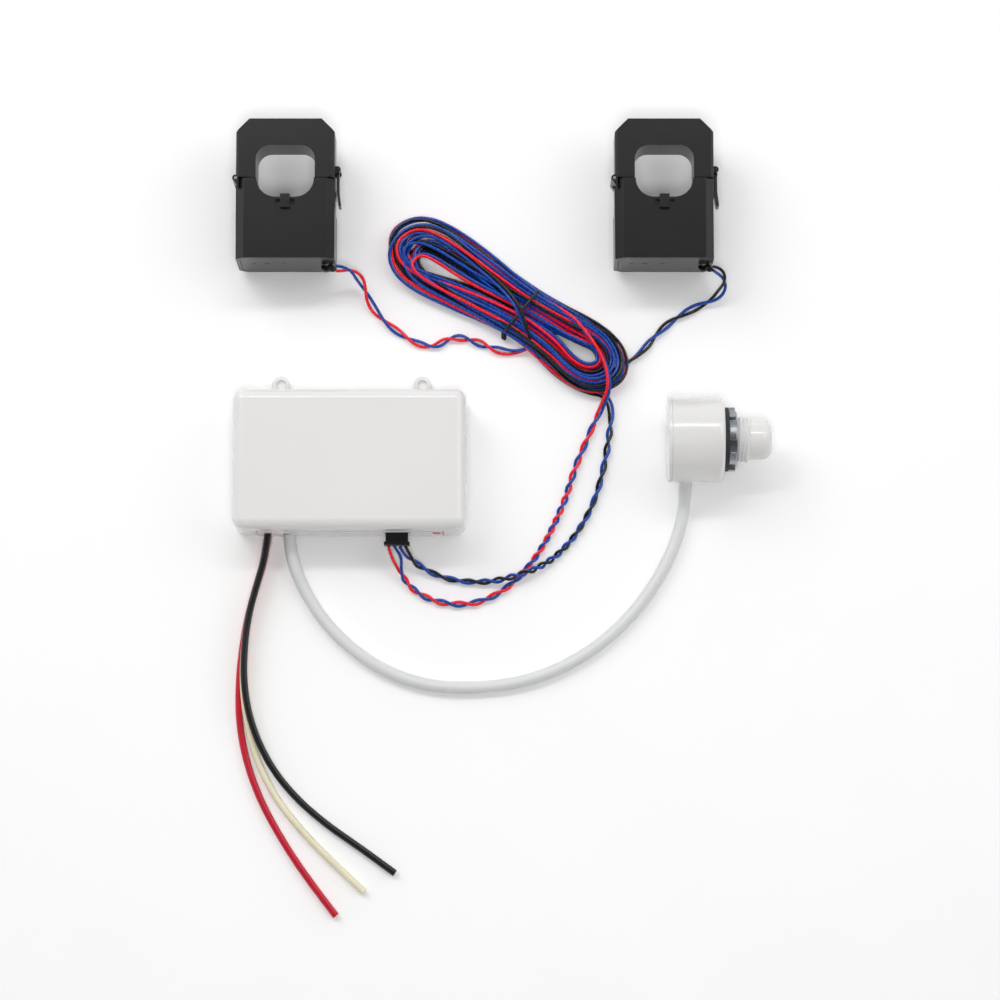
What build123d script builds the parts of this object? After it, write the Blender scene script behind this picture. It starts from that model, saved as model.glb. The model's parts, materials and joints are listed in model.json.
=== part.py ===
from build123d import *
import os
from math import cos, pi, radians, sin, tan

# A whole-home electricity monitor kit, laid out flat. Millimetres, +X right, +Y up the layout, +Z up.
# The origin is on the resting surface, under the middle of the box round the module, the two current
# transformers and the antenna.

# Layout
kit_half_depth = 93.95          # from the origin to the tops of the current transformers
ct_left_x = -98.16
ct_right_x = 73.94
module_x = -68.66
antenna_rear_x = 75.26
antenna_y = -51.7

# Monitor module
module_width = 105.2
module_height = 64.0
module_depth = 28.5
module_corner = 5.0             # plan radius of the four corners
cover_round = 5.0               # round of the front edge
cover_wall = 2.2
base_thickness = 2.4
base_inset = 0.3                # base plate edge inside the cover's outline
entry_half_width = 42.0         # wall of the base that the wires come through
entry_height = 14.1
entry_proud = 0.3
fit_gap = 0.3                   # moulded parts that meet without touching
ear_spacing = 64.8
ear_reach = 5.7                 # ear centre above the module's top edge
ear_radius = 4.0
ear_hole_radius = 2.25
ear_thickness = 2.0
ear_web = 0.8                   # how much wider than the ring the ear is at the case
ear_web_end = 1.2               # the web stops this far below the ring's middle
board_thickness = 1.6
board_height = 5.0              # stand-off of the board above the base
board_half_width = 41.0
board_low_y = -28.0
board_high_y = 27.0
standoff_radius = 3.0
standoff_x = 37.5
standoff_high_y = 23.0
standoff_low_y = -11.5
board_screw_radius = 1.2
board_screw_head = 2.16
board_screw_head_height = 1.5
screw_gap = 0.1
screw_bite = 3.4
post_radius = 3.2
post_x = 46.4
post_y = 25.6
cover_screw_radius = 1.4
cover_screw_head = 2.6
cover_screw_length = 12.0
cover_screw_head_height = 1.0
screw_end_gap = 1.0
lap = 1.0                       # how far solids that are joined or cut run into each other

# What stands on the board: middle (x, y) from the module's middle, and size
supply_at, supply_size, supply_round = (-9.0, 9.0), (34.0, 22.0, 15.0), 1.5
capacitors_at = ((14.5, 16.0, 5.0, 15.0), (25.5, 16.0, 4.0, 12.0))     # x, y, radius, height
varistor_count, varistor_pitch, varistor_radius, varistor_length = 3, 13.0, 5.6, 4.4
varistors_at, varistor_raise = (-24.0, -9.6), 7.0
fuse_count, fuse_pitch, fuse_radius, fuse_length = 2, 5.4, 2.4, 15.0
fuses_at, fuse_raise = (-38.0, -8.0), 3.2
terminals_at, terminals_size = (-32.0, -21.0), (17.0, 10.0, 10.0)
terminal_first_x, terminal_pitch, terminal_radius, terminal_depth = -37.6, 5.5, 2.0, 4.0
metering_at, metering_size = (-9.5, -19.5), (9.0, 9.0, 1.4)
radio_at, radio_size = (24.5, -3.0), (18.0, 22.0, 0.8)
shield_at, shield_size = (24.5, -4.75), (15.0, 15.5, 2.4)

# Wires that leave the module
lead_diameter = 3.2             # 14 AWG building wire
lead_pitch = 3.3                # the three leads leave one above the other
lead_x = -37.3
lead_low_z = 4.4
antenna_cable_diameter = 5.5
antenna_cable_x = -27.8
antenna_cable_z = 7.2
pair_diameter = 3.0             # two 1.5 mm wires twisted together
bushing_wall = 1.0

# Plug of the current transformer leads, four ways at 2.54 mm
plug_pitch = 2.54
plug_ways = 4
plug_x = 21.3
plug_thickness = 4.8
plug_showing = 4.1              # between the entry wall and the flange
plug_inside = 9.7
plug_flange = 0.7
plug_flange_length = 1.6
plug_flange_rise = 0.4
header_wall = 1.0

# Reset button
button_x = 39.1
button_width = 3.4
button_tall = 4.4
button_proud = 0.6              # beyond the cover's lower side
button_travel = 0.8
button_rim = 0.8                # keeps it behind the wall
button_length = 5.2
button_rim_length = 1.0
switch_low_x, switch_high_x = 4.2, 0.8          # either side of the button's middle
switch_length = 3.6
switch_rise = 1.6               # above the button's middle

# Current transformer
ct_width = 44.8
ct_height = 64.5
ct_depth = 33.0
ct_jaw_depth = 20.0             # the window part is thinner and level with the front
ct_body_height = 24.0           # the full-depth part with the winding
ct_split = 37.2                 # where the cap meets the housing
ct_edge_chamfer = 3.6
cap_edge_chamfer = 1.2
cap_corner = 6.0
ct_wall = 1.8
chamber_chamfer = 2.88          # inside the housing's long edges
window_width = 26.0
window_low = 28.2
window_high = 51.8
window_low_round = 8.6
window_high_round = 6.4
window_step = 0.4               # the cap's window is this much wider each side
split_gap = 0.1                 # either side of the split
core_depth = 10.0
core_gap = 0.2
core_back = 1.0                 # the core lies this far behind the jaw's middle
core_chamfer = 5.4
cap_pocket_chamfer = 5.2
window_wall = 1.5               # of the cap, between its window and its pocket
yoke_to_wall = 2.2              # room for the spring above the upper core
yoke_low = 8.0
yoke_height = 6.3
bobbin_wall = 1.0
winding_thickness = 2.2
bobbin_rim = 0.4                # beyond the winding
spring_half_length = 10.0
spring_width = 6.0
spring_thickness = 0.3
spring_gap = 0.02
bottom_plate = 2.0
bottom_plate_gap = 0.15
grommet_inside = 1.0
grommet_x = 17.6
grommet_radius = 2.4
knot_end_x = 22.6               # the leads are knotted outside the hole and leave to the right
knot_low_x = 15.8
knot_depth = 3.5
knot_half_height = 2.4
hinge_radius = 1.5
hinge_proud = 0.2
hinge_relief = 0.25
hinge_pin_radius = 0.7
running_gap = 0.05
hinge_end = 5.2                 # length of each housing knuckle
hinge_margin = 1.0              # knuckles start this far inside the jaw's faces
knuckle_taper = 5.0             # the knuckles run out into the side over this length
knuckle_root = 1.2
knuckle_lip = 0.6
latch_rod_x = 1.1               # outside the cap's side
latch_rod_y = 4.8               # above the split
latch_half_width = 4.0
latch_thickness = 1.2
latch_drop = 16.6
latch_rise = 1.1
latch_flare = 0.9
latch_stand_off = 0.65
lug_thickness = 1.6
catch_height = 0.45
catch_low, catch_high = 8.0, 5.0                # below the split
tie_width = 4.4
tie_over = 1.1                  # above the window's low edge
tie_eye_down = 2.2              # middle of the tie's eye below the window
tie_eye_radius = 0.9
tie_eye_rise = 0.1
tie_length = 6.4
tie_height = 1.6

# Antenna for a 22.2 mm knockout
antenna_radius = 19.35
antenna_length = 25.4
antenna_wall = 2.2
antenna_round = 3.0
rear_lid = 1.6
neck_radius = 10.45
neck_relief = 0.05              # under the gasket and the locknut
neck_length = 11.4
nose_radius = 9.15
nose_length = 10.2
nose_round = 4.8
nose_wall = 1.6
gasket_radius = 14.5
gasket_thickness = 2.0
gasket_gap = 0.15
nut_radius = 12.7
nut_lug_radius = 14.5
nut_lugs = 8
nut_thickness = 3.6
nut_lug_half = 2.2
nut_lug_step = 0.6
lid_round = 0.6
lid_rim = 1.5
lid_gap = 0.1
gland_proud = 0.6
gland_inside = 1.0
antenna_board_start = 8.0
antenna_board_end = 4.0         # short of the nose's tip
antenna_board_half = (5.5, 0.5)
element_start = 4.0             # behind the front face
element_end = 6.0
element_half = 4.0
element_thickness = 0.3
cable_angle = 30.0              # below level, where the cable leaves the side
cable_at = 8.6                  # from the rear face
cable_bushing_radius = 4.0

# Hank of leads and its tie
hank_height = 9.0
hank_x, hank_y = 9.4, 9.9       # where the tie holds it
hank_turn = -31.0
tie_wall = 1.2
tie_band = 2.4
tie_half_span = 10.0

lead_z = ct_depth / 2 + 0.5      # height of the leads at the current transformers
module_y = -kit_half_depth + module_height / 2 + button_proud
ct_base_y = kit_half_depth - ct_height
antenna_z = antenna_radius
board_z = base_thickness + board_height
board_top = board_z + board_thickness
plug_width = plug_pitch * plug_ways
plug_z = board_top + header_wall + fit_gap + plug_thickness / 2
nodes = {}


def block(x0, x1, y0, y1, z0, z1):
    return Pos((x0 + x1) / 2, (y0 + y1) / 2, (z0 + z1) / 2) * Box(x1 - x0, y1 - y0, z1 - z0)


def rod(x, y, z0, z1, radius):
    return Pos(x, y, (z0 + z1) / 2) * Cylinder(radius, z1 - z0)


def rod_x(x0, x1, y, z, radius):
    return Pos((x0 + x1) / 2, y, z) * Rot(0, 90, 0) * Cylinder(radius, x1 - x0)


def rod_y(x, y0, y1, z, radius):
    return Pos(x, (y0 + y1) / 2, z) * Rot(90, 0, 0) * Cylinder(radius, y1 - y0)


def plate(points, z0, z1):
    return extrude(Pos(0, 0, z0) * make_face(Polyline(*points, close=True)), z1 - z0)


def corners(x, low_y, high_y):
    return [(-x, low_y), (x, low_y), (-x, high_y), (x, high_y)]


def keep(name, shape, at=(0, 0, 0)):
    nodes[name] = Pos(*at) * shape


# Module


def module_outline(inset, height):
    shape = Box(module_width - 2 * inset, module_height - 2 * inset, height)
    return fillet(shape.edges().filter_by(Axis.Z), module_corner - inset)


def entry_cuts(y0, y1, gap):
    """Windows in the entry wall, with the same gap round every piece that passes through."""
    half_plug = plug_width / 2 + plug_flange / 2 + gap
    cuts = block(plug_x - half_plug, plug_x + half_plug, y0, y1,
                 plug_z - plug_thickness / 2 - gap, plug_z + plug_thickness / 2 + gap)
    cuts += block(button_x - button_width / 2 - gap / 2, button_x + button_width / 2 + gap / 2, y0, y1,
                  plug_z - button_tall / 2 - gap / 2, plug_z + button_tall / 2 + gap / 2)
    return cuts


def lead_slot(y0, y1, grow):
    low, high = lead_low_z, lead_low_z + 2 * lead_pitch
    radius = lead_diameter / 2 + grow
    shape = block(lead_x - radius, lead_x + radius, y0, y1, low, high)
    return shape + rod_y(lead_x, y0, y1, low, radius) + rod_y(lead_x, y0, y1, high, radius)


def on_board(middle, size):
    """A block that stands on the circuit board."""
    return Pos(*middle, board_top + size[2] / 2) * Box(*size)


def make_module():
    at = (module_x, module_y, 0)
    low_side = -module_height / 2
    wall_out = low_side - entry_proud
    wall_in = low_side + cover_wall

    cover = Pos(0, 0, (base_thickness + module_depth) / 2) * module_outline(0, module_depth - base_thickness)
    cover = fillet(cover.edges().group_by(Axis.Z)[-1], cover_round)
    inner_height = module_depth - cover_wall - base_thickness
    inner = Pos(0, 0, base_thickness + inner_height / 2) * module_outline(cover_wall, inner_height)
    inner = fillet(inner.edges().group_by(Axis.Z)[-1], cover_round - cover_wall)
    cover -= inner
    for x, y in corners(post_x, -post_y, post_y):
        cover += rod(x, y, base_thickness, module_depth - cover_wall, post_radius)
        cover -= rod(x, y, base_thickness, base_thickness + cover_screw_length, cover_screw_radius)
    cover -= block(-entry_half_width - fit_gap, entry_half_width + fit_gap, low_side - lap, wall_in + fit_gap,
                   base_thickness - lap, base_thickness + entry_height + fit_gap)
    keep("front_cover", cover, at)

    base = Pos(0, 0, base_thickness / 2) * module_outline(base_inset, base_thickness)
    ear_y = module_height / 2 + ear_reach
    ear_foot, ear_top = ear_radius + ear_web, ear_radius * 0.8
    for x in (-ear_spacing / 2, ear_spacing / 2):
        base += rod(x, ear_y, 0, ear_thickness, ear_radius)
        base += plate([(x - ear_foot, ear_y - ear_reach - lap), (x + ear_foot, ear_y - ear_reach - lap),
                       (x + ear_top, ear_y - ear_web_end), (x - ear_top, ear_y - ear_web_end)], 0, ear_thickness)
        base -= rod(x, ear_y, 0, ear_thickness, ear_hole_radius)
    wall = block(-entry_half_width, entry_half_width, wall_out, wall_in, base_thickness - lap,
                 base_thickness + entry_height)
    base += wall
    base -= entry_cuts(wall_out - lap, wall_in + lap, fit_gap)
    base -= lead_slot(wall_out - lap, wall_in + lap, bushing_wall)
    base -= rod_y(antenna_cable_x, wall_out - lap, wall_in + lap, antenna_cable_z,
                  antenna_cable_diameter / 2 + bushing_wall)
    for x, y in corners(standoff_x, standoff_low_y, standoff_high_y):
        base += rod(x, y, base_thickness, board_z, standoff_radius)
        base -= rod(x, y, board_z - screw_bite, board_z, board_screw_radius)
    for x, y in corners(post_x, -post_y, post_y):
        base -= rod(x, y, 0, base_thickness, cover_screw_radius + screw_gap)
        base -= rod(x, y, 0, base_thickness / 2, cover_screw_head + screw_gap)
    keep("back_plate", base, at)

    board = block(-board_half_width, board_half_width, board_low_y, board_high_y, board_z, board_top)
    for x, y in corners(standoff_x, standoff_low_y, standoff_high_y):
        board -= rod(x, y, board_z, board_top, board_screw_radius + screw_gap)
    keep("circuit_board", board, at)

    board_screws = [rod(x, y, board_z - screw_bite, board_top, board_screw_radius)
                    + rod(x, y, board_top, board_top + board_screw_head_height, board_screw_head)
                    for x, y in corners(standoff_x, standoff_low_y, standoff_high_y)]
    keep("board_screws", Compound(board_screws), at)
    cover_screws = [rod(x, y, base_thickness / 2 - cover_screw_head_height, base_thickness / 2, cover_screw_head)
                    + rod(x, y, base_thickness / 2, base_thickness + cover_screw_length - screw_end_gap,
                          cover_screw_radius)
                    for x, y in corners(post_x, -post_y, post_y)]
    keep("cover_screws", Compound(cover_screws), at)

    lead_bushing = lead_slot(wall_out, wall_in, bushing_wall)
    keep("lead_bushing", lead_bushing, at)
    keep("antenna_cable_bushing", rod_y(antenna_cable_x, wall_out, wall_in, antenna_cable_z,
                                        antenna_cable_diameter / 2 + bushing_wall), at)

    header_half = plug_width / 2 + plug_flange / 2 + fit_gap + header_wall
    header = block(plug_x - header_half, plug_x + header_half, wall_in + fit_gap,
                   wall_in + plug_inside - cover_wall + 2 * header_wall, board_top,
                   plug_z + plug_thickness / 2 + fit_gap + header_wall)
    header -= block(plug_x - header_half + header_wall, plug_x + header_half - header_wall, wall_in,
                    wall_in + plug_inside - cover_wall + header_wall, board_top + header_wall,
                    plug_z + plug_thickness / 2 + fit_gap)
    keep("ct_header", header, at)

    plug = block(plug_x - plug_width / 2, plug_x + plug_width / 2, wall_out - plug_showing,
                 wall_in + plug_inside - cover_wall - fit_gap, plug_z - plug_thickness / 2,
                 plug_z + plug_thickness / 2)
    flange_half, flange_rise = plug_width / 2 + plug_flange, plug_thickness / 2 + plug_flange_rise
    plug += block(plug_x - flange_half, plug_x + flange_half, wall_out - plug_showing - plug_flange_length,
                  wall_out - plug_showing, plug_z - flange_rise, plug_z + flange_rise)
    keep("ct_plug", plug, at)

    button_face = low_side - button_proud
    button_back = button_face + button_length
    button = block(button_x - button_width / 2, button_x + button_width / 2, button_face, button_back,
                   plug_z - button_tall / 2, plug_z + button_tall / 2)
    rim_half = button_width / 2 + button_rim
    button += block(button_x - rim_half, button_x + rim_half, wall_in + fit_gap,
                    wall_in + fit_gap + button_rim_length,
                    plug_z - button_tall / 2, plug_z + button_tall / 2)
    keep("reset_button", button, at)
    switch_front = button_back + button_travel + fit_gap / 2
    keep("reset_switch", block(button_x - switch_low_x, button_x + switch_high_x, switch_front,
                               switch_front + switch_length, board_top, plug_z + switch_rise), at)

    keep("power_supply", fillet(on_board(supply_at, supply_size).edges().filter_by(Axis.Z), supply_round), at)
    capacitors = [rod(x, y, board_top, board_top + tall, radius) for x, y, radius, tall in capacitors_at]
    keep("capacitors", Compound(capacitors), at)
    varistor_x, varistor_y = varistors_at
    varistors = [rod_y(varistor_x + varistor_pitch * i, varistor_y, varistor_y + varistor_length,
                       board_top + varistor_raise, varistor_radius) for i in range(varistor_count)]
    keep("varistors", Compound(varistors), at)
    fuse_x, fuse_y = fuses_at
    fuses = [rod_y(fuse_x + fuse_pitch * i, fuse_y, fuse_y + fuse_length, board_top + fuse_raise, fuse_radius)
             for i in range(fuse_count)]
    keep("fuses", Compound(fuses), at)
    terminals = on_board(terminals_at, terminals_size)
    terminal_top = board_top + terminals_size[2]
    for i in range(3):
        terminals -= rod(terminal_first_x + terminal_pitch * i, terminals_at[1], terminal_top - terminal_depth,
                         terminal_top, terminal_radius)
    keep("lead_terminals", terminals, at)
    keep("metering_chip", on_board(metering_at, metering_size), at)
    keep("radio_board", on_board(radio_at, radio_size), at)
    keep("radio_shield", Pos(0, 0, radio_size[2]) * on_board(shield_at, shield_size), at)


# Current transformers


def window(grow):
    outline = Rectangle(window_width + 2 * grow, window_high - window_low + 2 * grow)
    outline = fillet(outline.vertices().group_by(Axis.Y)[0], window_low_round)
    outline = fillet(outline.vertices().group_by(Axis.Y)[-1], window_high_round)
    return Pos(0, (window_high + window_low) / 2, 0) * outline


def make_ct(side, at_x):
    at = (at_x, ct_base_y, 0)
    half = ct_width / 2
    jaw_back = ct_depth - ct_jaw_depth
    core_mid = ct_depth - ct_jaw_depth / 2 - core_back
    core_z = (core_mid - core_depth / 2, core_mid + core_depth / 2)
    slot_z = (core_z[0] - core_gap, core_z[1] + core_gap)
    slot_out = half - ct_wall
    leg_out = slot_out - core_gap
    leg_in = window_width / 2 + window_step + window_wall + core_gap
    slot_in = leg_in - core_gap
    hinge_x = -half - hinge_proud
    knuckle_z = (jaw_back + hinge_margin, ct_depth - hinge_margin)
    mid_knuckle = (knuckle_z[0] + hinge_end + fit_gap, knuckle_z[1] - hinge_end - fit_gap)
    end_knuckles = ((knuckle_z[0], knuckle_z[0] + hinge_end), (knuckle_z[1] - hinge_end, knuckle_z[1]))

    # Housing: a deep lower body for the winding and a thinner part beside the window
    body = block(-half, half, 0, ct_body_height, 0, ct_depth)
    body = chamfer(body.edges().filter_by(Axis.Y), ct_edge_chamfer)
    neck = block(-half, half, ct_body_height - lap, ct_split - split_gap, jaw_back, ct_depth)
    neck = chamfer(neck.edges().filter_by(Axis.Y).group_by(Axis.Z)[-1], ct_edge_chamfer)
    housing = body + neck
    chamber = block(-half + ct_wall, half - ct_wall, 0, ct_body_height - ct_wall, ct_wall, ct_depth - ct_wall)
    chamber = chamfer(chamber.edges().filter_by(Axis.Y), chamber_chamfer)
    housing -= chamber
    for s in (-1, 1):
        housing -= block(*sorted((s * slot_in, s * slot_out)), ct_body_height - ct_wall - lap, ct_split, *slot_z)
    housing -= extrude(Pos(0, 0, -lap) * window(0), ct_depth + 2 * lap)
    tie_end = window_low + tie_over
    housing += block(-tie_width / 2, tie_width / 2, tie_end - tie_length, tie_end, ct_depth - lap,
                     ct_depth + tie_height)
    housing -= rod_x(-tie_width, tie_width, window_low - tie_eye_down, ct_depth + tie_eye_rise, tie_eye_radius)
    for z0, z1 in end_knuckles:
        knuckle = rod(hinge_x, ct_split, z0, z1, hinge_radius)
        knuckle += plate([(hinge_x - hinge_radius, ct_split), (-half + knuckle_root, ct_split - knuckle_taper),
                          (-half + knuckle_root, ct_split - knuckle_lip),
                          (hinge_x + lap, ct_split - knuckle_lip), (hinge_x + lap, ct_split)], z0, z1)
        housing += knuckle
        housing -= rod(hinge_x, ct_split, z0, z1, hinge_pin_radius)
    relief = hinge_radius + hinge_relief
    housing -= rod(hinge_x, ct_split, mid_knuckle[0] - fit_gap, mid_knuckle[1] + fit_gap, relief)
    housing += block(half - lap / 2, half + catch_height, ct_split - catch_low, ct_split - catch_high,
                     core_mid - latch_half_width, core_mid + latch_half_width)
    keep(f"ct_{side}_housing", housing, at)

    inset = ct_wall + bottom_plate_gap
    floor = block(-half + inset, half - inset, 0, bottom_plate, inset, ct_depth - inset)
    floor = chamfer(floor.edges().filter_by(Axis.Y), chamber_chamfer)
    floor -= rod_y(grommet_x, 0, bottom_plate, lead_z, grommet_radius)
    keep(f"ct_{side}_bottom_plate", floor, at)
    keep(f"ct_{side}_lead_grommet", rod_y(grommet_x, 0, bottom_plate + grommet_inside, lead_z,
                                            grommet_radius), at)
    knot = block(knot_low_x, knot_end_x, -knot_depth, 0, lead_z - knot_half_height, lead_z + knot_half_height)
    keep(f"ct_{side}_lead_knot", fillet(knot.edges().filter_by(Axis.X), knot_depth * 0.4), at)

    # Cap: the hinged upper half of the jaw
    cap = block(-half, half, ct_split + split_gap, ct_height, jaw_back, ct_depth)
    cap = chamfer(cap.edges().filter_by(Axis.Z).group_by(Axis.Y)[-1], cap_corner)
    cap = chamfer(cap.edges().filter_by(Axis.Y), cap_edge_chamfer)
    pocket = block(-slot_out, slot_out, ct_split, ct_height - ct_wall, *slot_z)
    pocket = chamfer(pocket.edges().filter_by(Axis.Z).group_by(Axis.Y)[-1], cap_pocket_chamfer)
    pocket -= extrude(Pos(0, 0, slot_z[0]) * window(window_step + window_wall), slot_z[1] - slot_z[0])
    pocket -= block(-slot_in, slot_in, ct_split, (window_high + window_low) / 2, *slot_z)
    cap -= pocket
    cap -= extrude(Pos(0, 0, jaw_back - lap) * window(window_step), ct_jaw_depth + 2 * lap)
    cap += rod(hinge_x, ct_split, *mid_knuckle, hinge_radius)
    cap += plate([(hinge_x - hinge_radius, ct_split), (hinge_x + lap, ct_split),
                  (-half + knuckle_root, ct_split + split_gap),
                  (-half + knuckle_root, ct_split + knuckle_taper)], *mid_knuckle)
    cap -= rod(hinge_x, ct_split, *mid_knuckle, hinge_pin_radius + running_gap)
    for z0, z1 in end_knuckles:
        cap -= rod(hinge_x, ct_split, z0 - fit_gap, z1 + fit_gap, relief)
    latch_x, latch_y = half + latch_rod_x, ct_split + latch_rod_y
    lug_z = ((core_mid - latch_half_width - fit_gap - lug_thickness, core_mid - latch_half_width - fit_gap),
             (core_mid + latch_half_width + fit_gap, core_mid + latch_half_width + fit_gap + lug_thickness))
    for z0, z1 in lug_z:
        cap += block(half - lap, latch_x, latch_y - hinge_radius, latch_y + hinge_radius, z0, z1)
        cap += rod(latch_x, latch_y, z0, z1, hinge_radius)
        cap -= rod(latch_x, latch_y, z0, z1, hinge_pin_radius + running_gap)
    keep(f"ct_{side}_cap", cap, at)
    keep(f"ct_{side}_hinge_pin", rod(hinge_x, ct_split, *knuckle_z, hinge_pin_radius), at)

    inner_x = half + latch_stand_off
    latch = plate([(inner_x, latch_y + latch_rise), (inner_x + latch_thickness, latch_y + latch_rise),
                   (inner_x + latch_thickness + 0.1, latch_y - latch_drop * 0.6),
                   (inner_x + latch_thickness + latch_flare, latch_y - latch_drop),
                   (inner_x + latch_flare, latch_y - latch_drop), (inner_x, latch_y - latch_drop * 0.6)],
                  core_mid - latch_half_width, core_mid + latch_half_width)
    latch += rod(latch_x, latch_y, lug_z[0][0], lug_z[1][1], hinge_pin_radius)
    keep(f"ct_{side}_latch", latch, at)

    # Core, winding and the spring that presses the two core halves together
    lower = block(-leg_out, leg_out, yoke_low, ct_split - split_gap, *core_z)
    lower -= block(-leg_in, leg_in, yoke_low + yoke_height, ct_split, *core_z)
    keep(f"ct_{side}_lower_core", lower, at)
    yoke_top = ct_height - ct_wall - yoke_to_wall
    upper = block(-leg_out, leg_out, ct_split + split_gap, yoke_top, *core_z)
    upper = chamfer(upper.edges().filter_by(Axis.Z).group_by(Axis.Y)[-1], core_chamfer)
    upper -= block(-leg_in, leg_in, ct_split, yoke_top - yoke_height, *core_z)
    keep(f"ct_{side}_upper_core", upper, at)
    bobbin_half = leg_in - core_gap
    grow = core_gap / 2
    sleeve = (yoke_low - grow - bobbin_wall, yoke_low + yoke_height + grow + bobbin_wall,
              core_z[0] - grow - bobbin_wall, core_z[1] + grow + bobbin_wall)
    bobbin = block(-bobbin_half, bobbin_half, *sleeve)
    rim = winding_thickness + bobbin_rim
    for x in (-bobbin_half, bobbin_half - bobbin_wall):
        bobbin += block(x, x + bobbin_wall, sleeve[0] - rim, sleeve[1] + rim, sleeve[2] - rim, sleeve[3] + rim)
    bobbin -= block(-bobbin_half, bobbin_half, yoke_low - grow, yoke_low + yoke_height + grow,
                    core_z[0] - grow, core_z[1] + grow)
    keep(f"ct_{side}_bobbin", bobbin, at)
    coil = winding_thickness
    coil_half = bobbin_half - bobbin_wall
    winding = block(-coil_half, coil_half, sleeve[0] - coil, sleeve[1] + coil, sleeve[2] - coil, sleeve[3] + coil)
    winding = fillet(winding.edges().filter_by(Axis.X), coil)
    winding -= block(-coil_half, coil_half, *sleeve)
    keep(f"ct_{side}_winding", winding, at)
    spring_low = yoke_top + spring_gap
    spring_high = ct_height - ct_wall - spring_gap - spring_thickness
    ends = [(-spring_half_length, spring_high), (spring_half_length, spring_high)]
    tops = [(x, y + spring_thickness) for x, y in ends]
    arch = Face(Wire([ThreePointArc(ends[0], (0, spring_low), ends[1]), Line(ends[1], tops[1]),
                      ThreePointArc(tops[1], (0, spring_low + spring_thickness), tops[0]), Line(tops[0], ends[0])]))
    spring = extrude(Pos(0, 0, core_mid - spring_width / 2) * arch, spring_width, dir=(0, 0, 1))
    keep(f"ct_{side}_core_spring", spring, at)


# Antenna, its axis along X


def make_antenna():
    at = (antenna_rear_x, antenna_y, antenna_z)
    front = antenna_length
    shell = rod_x(rear_lid, front, 0, 0, antenna_radius)
    shell = fillet(shell.edges().group_by(Axis.X)[-1], antenna_round)
    nut_end = front + gasket_thickness + nut_thickness
    shell += rod_x(front - lap, nut_end, 0, 0, neck_radius - neck_relief)
    shell += rod_x(nut_end, front + neck_length, 0, 0, neck_radius)
    tip = front + neck_length + nose_length
    nose = rod_x(front + neck_length, tip, 0, 0, nose_radius)
    shell += fillet(nose.edges().group_by(Axis.X)[-1], nose_round)
    shell -= rod_x(rear_lid, front - antenna_wall, 0, 0, antenna_radius - antenna_wall)
    hollow = rod_x(front - antenna_wall, tip - nose_wall, 0, 0, nose_radius - nose_wall)
    shell -= fillet(hollow.edges().group_by(Axis.X)[-1], nose_round - nose_wall)
    way = Pos(cable_at, 0, 0) * Rot(90 + cable_angle, 0, 0)
    gland_out, gland_in = antenna_radius + gland_proud, antenna_radius - antenna_wall - gland_inside
    bushing = way * rod(0, 0, gland_in, gland_out, cable_bushing_radius)
    shell -= bushing
    keep("antenna_body", shell, at)
    keep("antenna_cable_gland", bushing, at)
    lid = fillet(rod_x(0, rear_lid, 0, 0, antenna_radius).edges().group_by(Axis.X)[0], lid_round)
    lid += rod_x(rear_lid, rear_lid + lid_rim, 0, 0, antenna_radius - antenna_wall - lid_gap)
    keep("antenna_rear_lid", lid, at)
    gasket = rod_x(front, front + gasket_thickness, 0, 0, gasket_radius)
    keep("antenna_gasket", gasket - rod_x(front, front + gasket_thickness, 0, 0, neck_radius + gasket_gap), at)
    nut_start = front + gasket_thickness
    nut = rod_x(nut_start, nut_end, 0, 0, nut_radius)
    for i in range(nut_lugs):
        nut += Rot(360 / nut_lugs * i, 0, 0) * block(nut_start, nut_end - nut_lug_step, -nut_lug_half,
                                                      nut_lug_half, 0, nut_lug_radius)
    nut &= rod_x(nut_start, nut_end, 0, 0, nut_lug_radius)
    nut -= rod_x(nut_start, nut_end, 0, 0, neck_radius + running_gap)
    keep("antenna_locknut", nut, at)
    half_width, half_thickness = antenna_board_half
    keep("antenna_board", block(antenna_board_start, tip - antenna_board_end, -half_width, half_width,
                                -half_thickness, half_thickness), at)
    keep("antenna_element", block(front - element_start, tip - element_end, -element_half, element_half,
                                  half_thickness, half_thickness + element_thickness), at)


# Cords


def cord_tube(name, points, diameter):
    """Straight runs joined by arcs, each as large as its two runs allow."""
    spots = [Vector(*p) for p in points]
    radii = []
    for before, here, after in zip(spots, spots[1:], spots[2:]):
        into, out = here - before, after - here
        half_turn = radians(into.get_angle(out)) / 2
        radii.append(0.45 * min(into.length, out.length) / tan(half_turn))
    path = FilletPolyline(*spots, radius=radii)
    start = Plane(origin=path @ 0, z_dir=path % 0)
    tube = sweep(start * Circle(diameter / 2), path=path)
    section = pi * diameter ** 2 / 4
    print(name, "length", round(path.length, 1), "volume ratio", round(tube.volume / section / path.length, 4),
          "smallest radius", round(min(radii), 1), "radii", [round(r) for r in radii])
    keep(name, tube)


module_face = module_y - module_height / 2 - entry_proud
lead_start_x = module_x + lead_x
knot_y = ct_base_y - knot_depth / 2
plug_end = module_face - plug_showing - plug_flange_length

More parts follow.
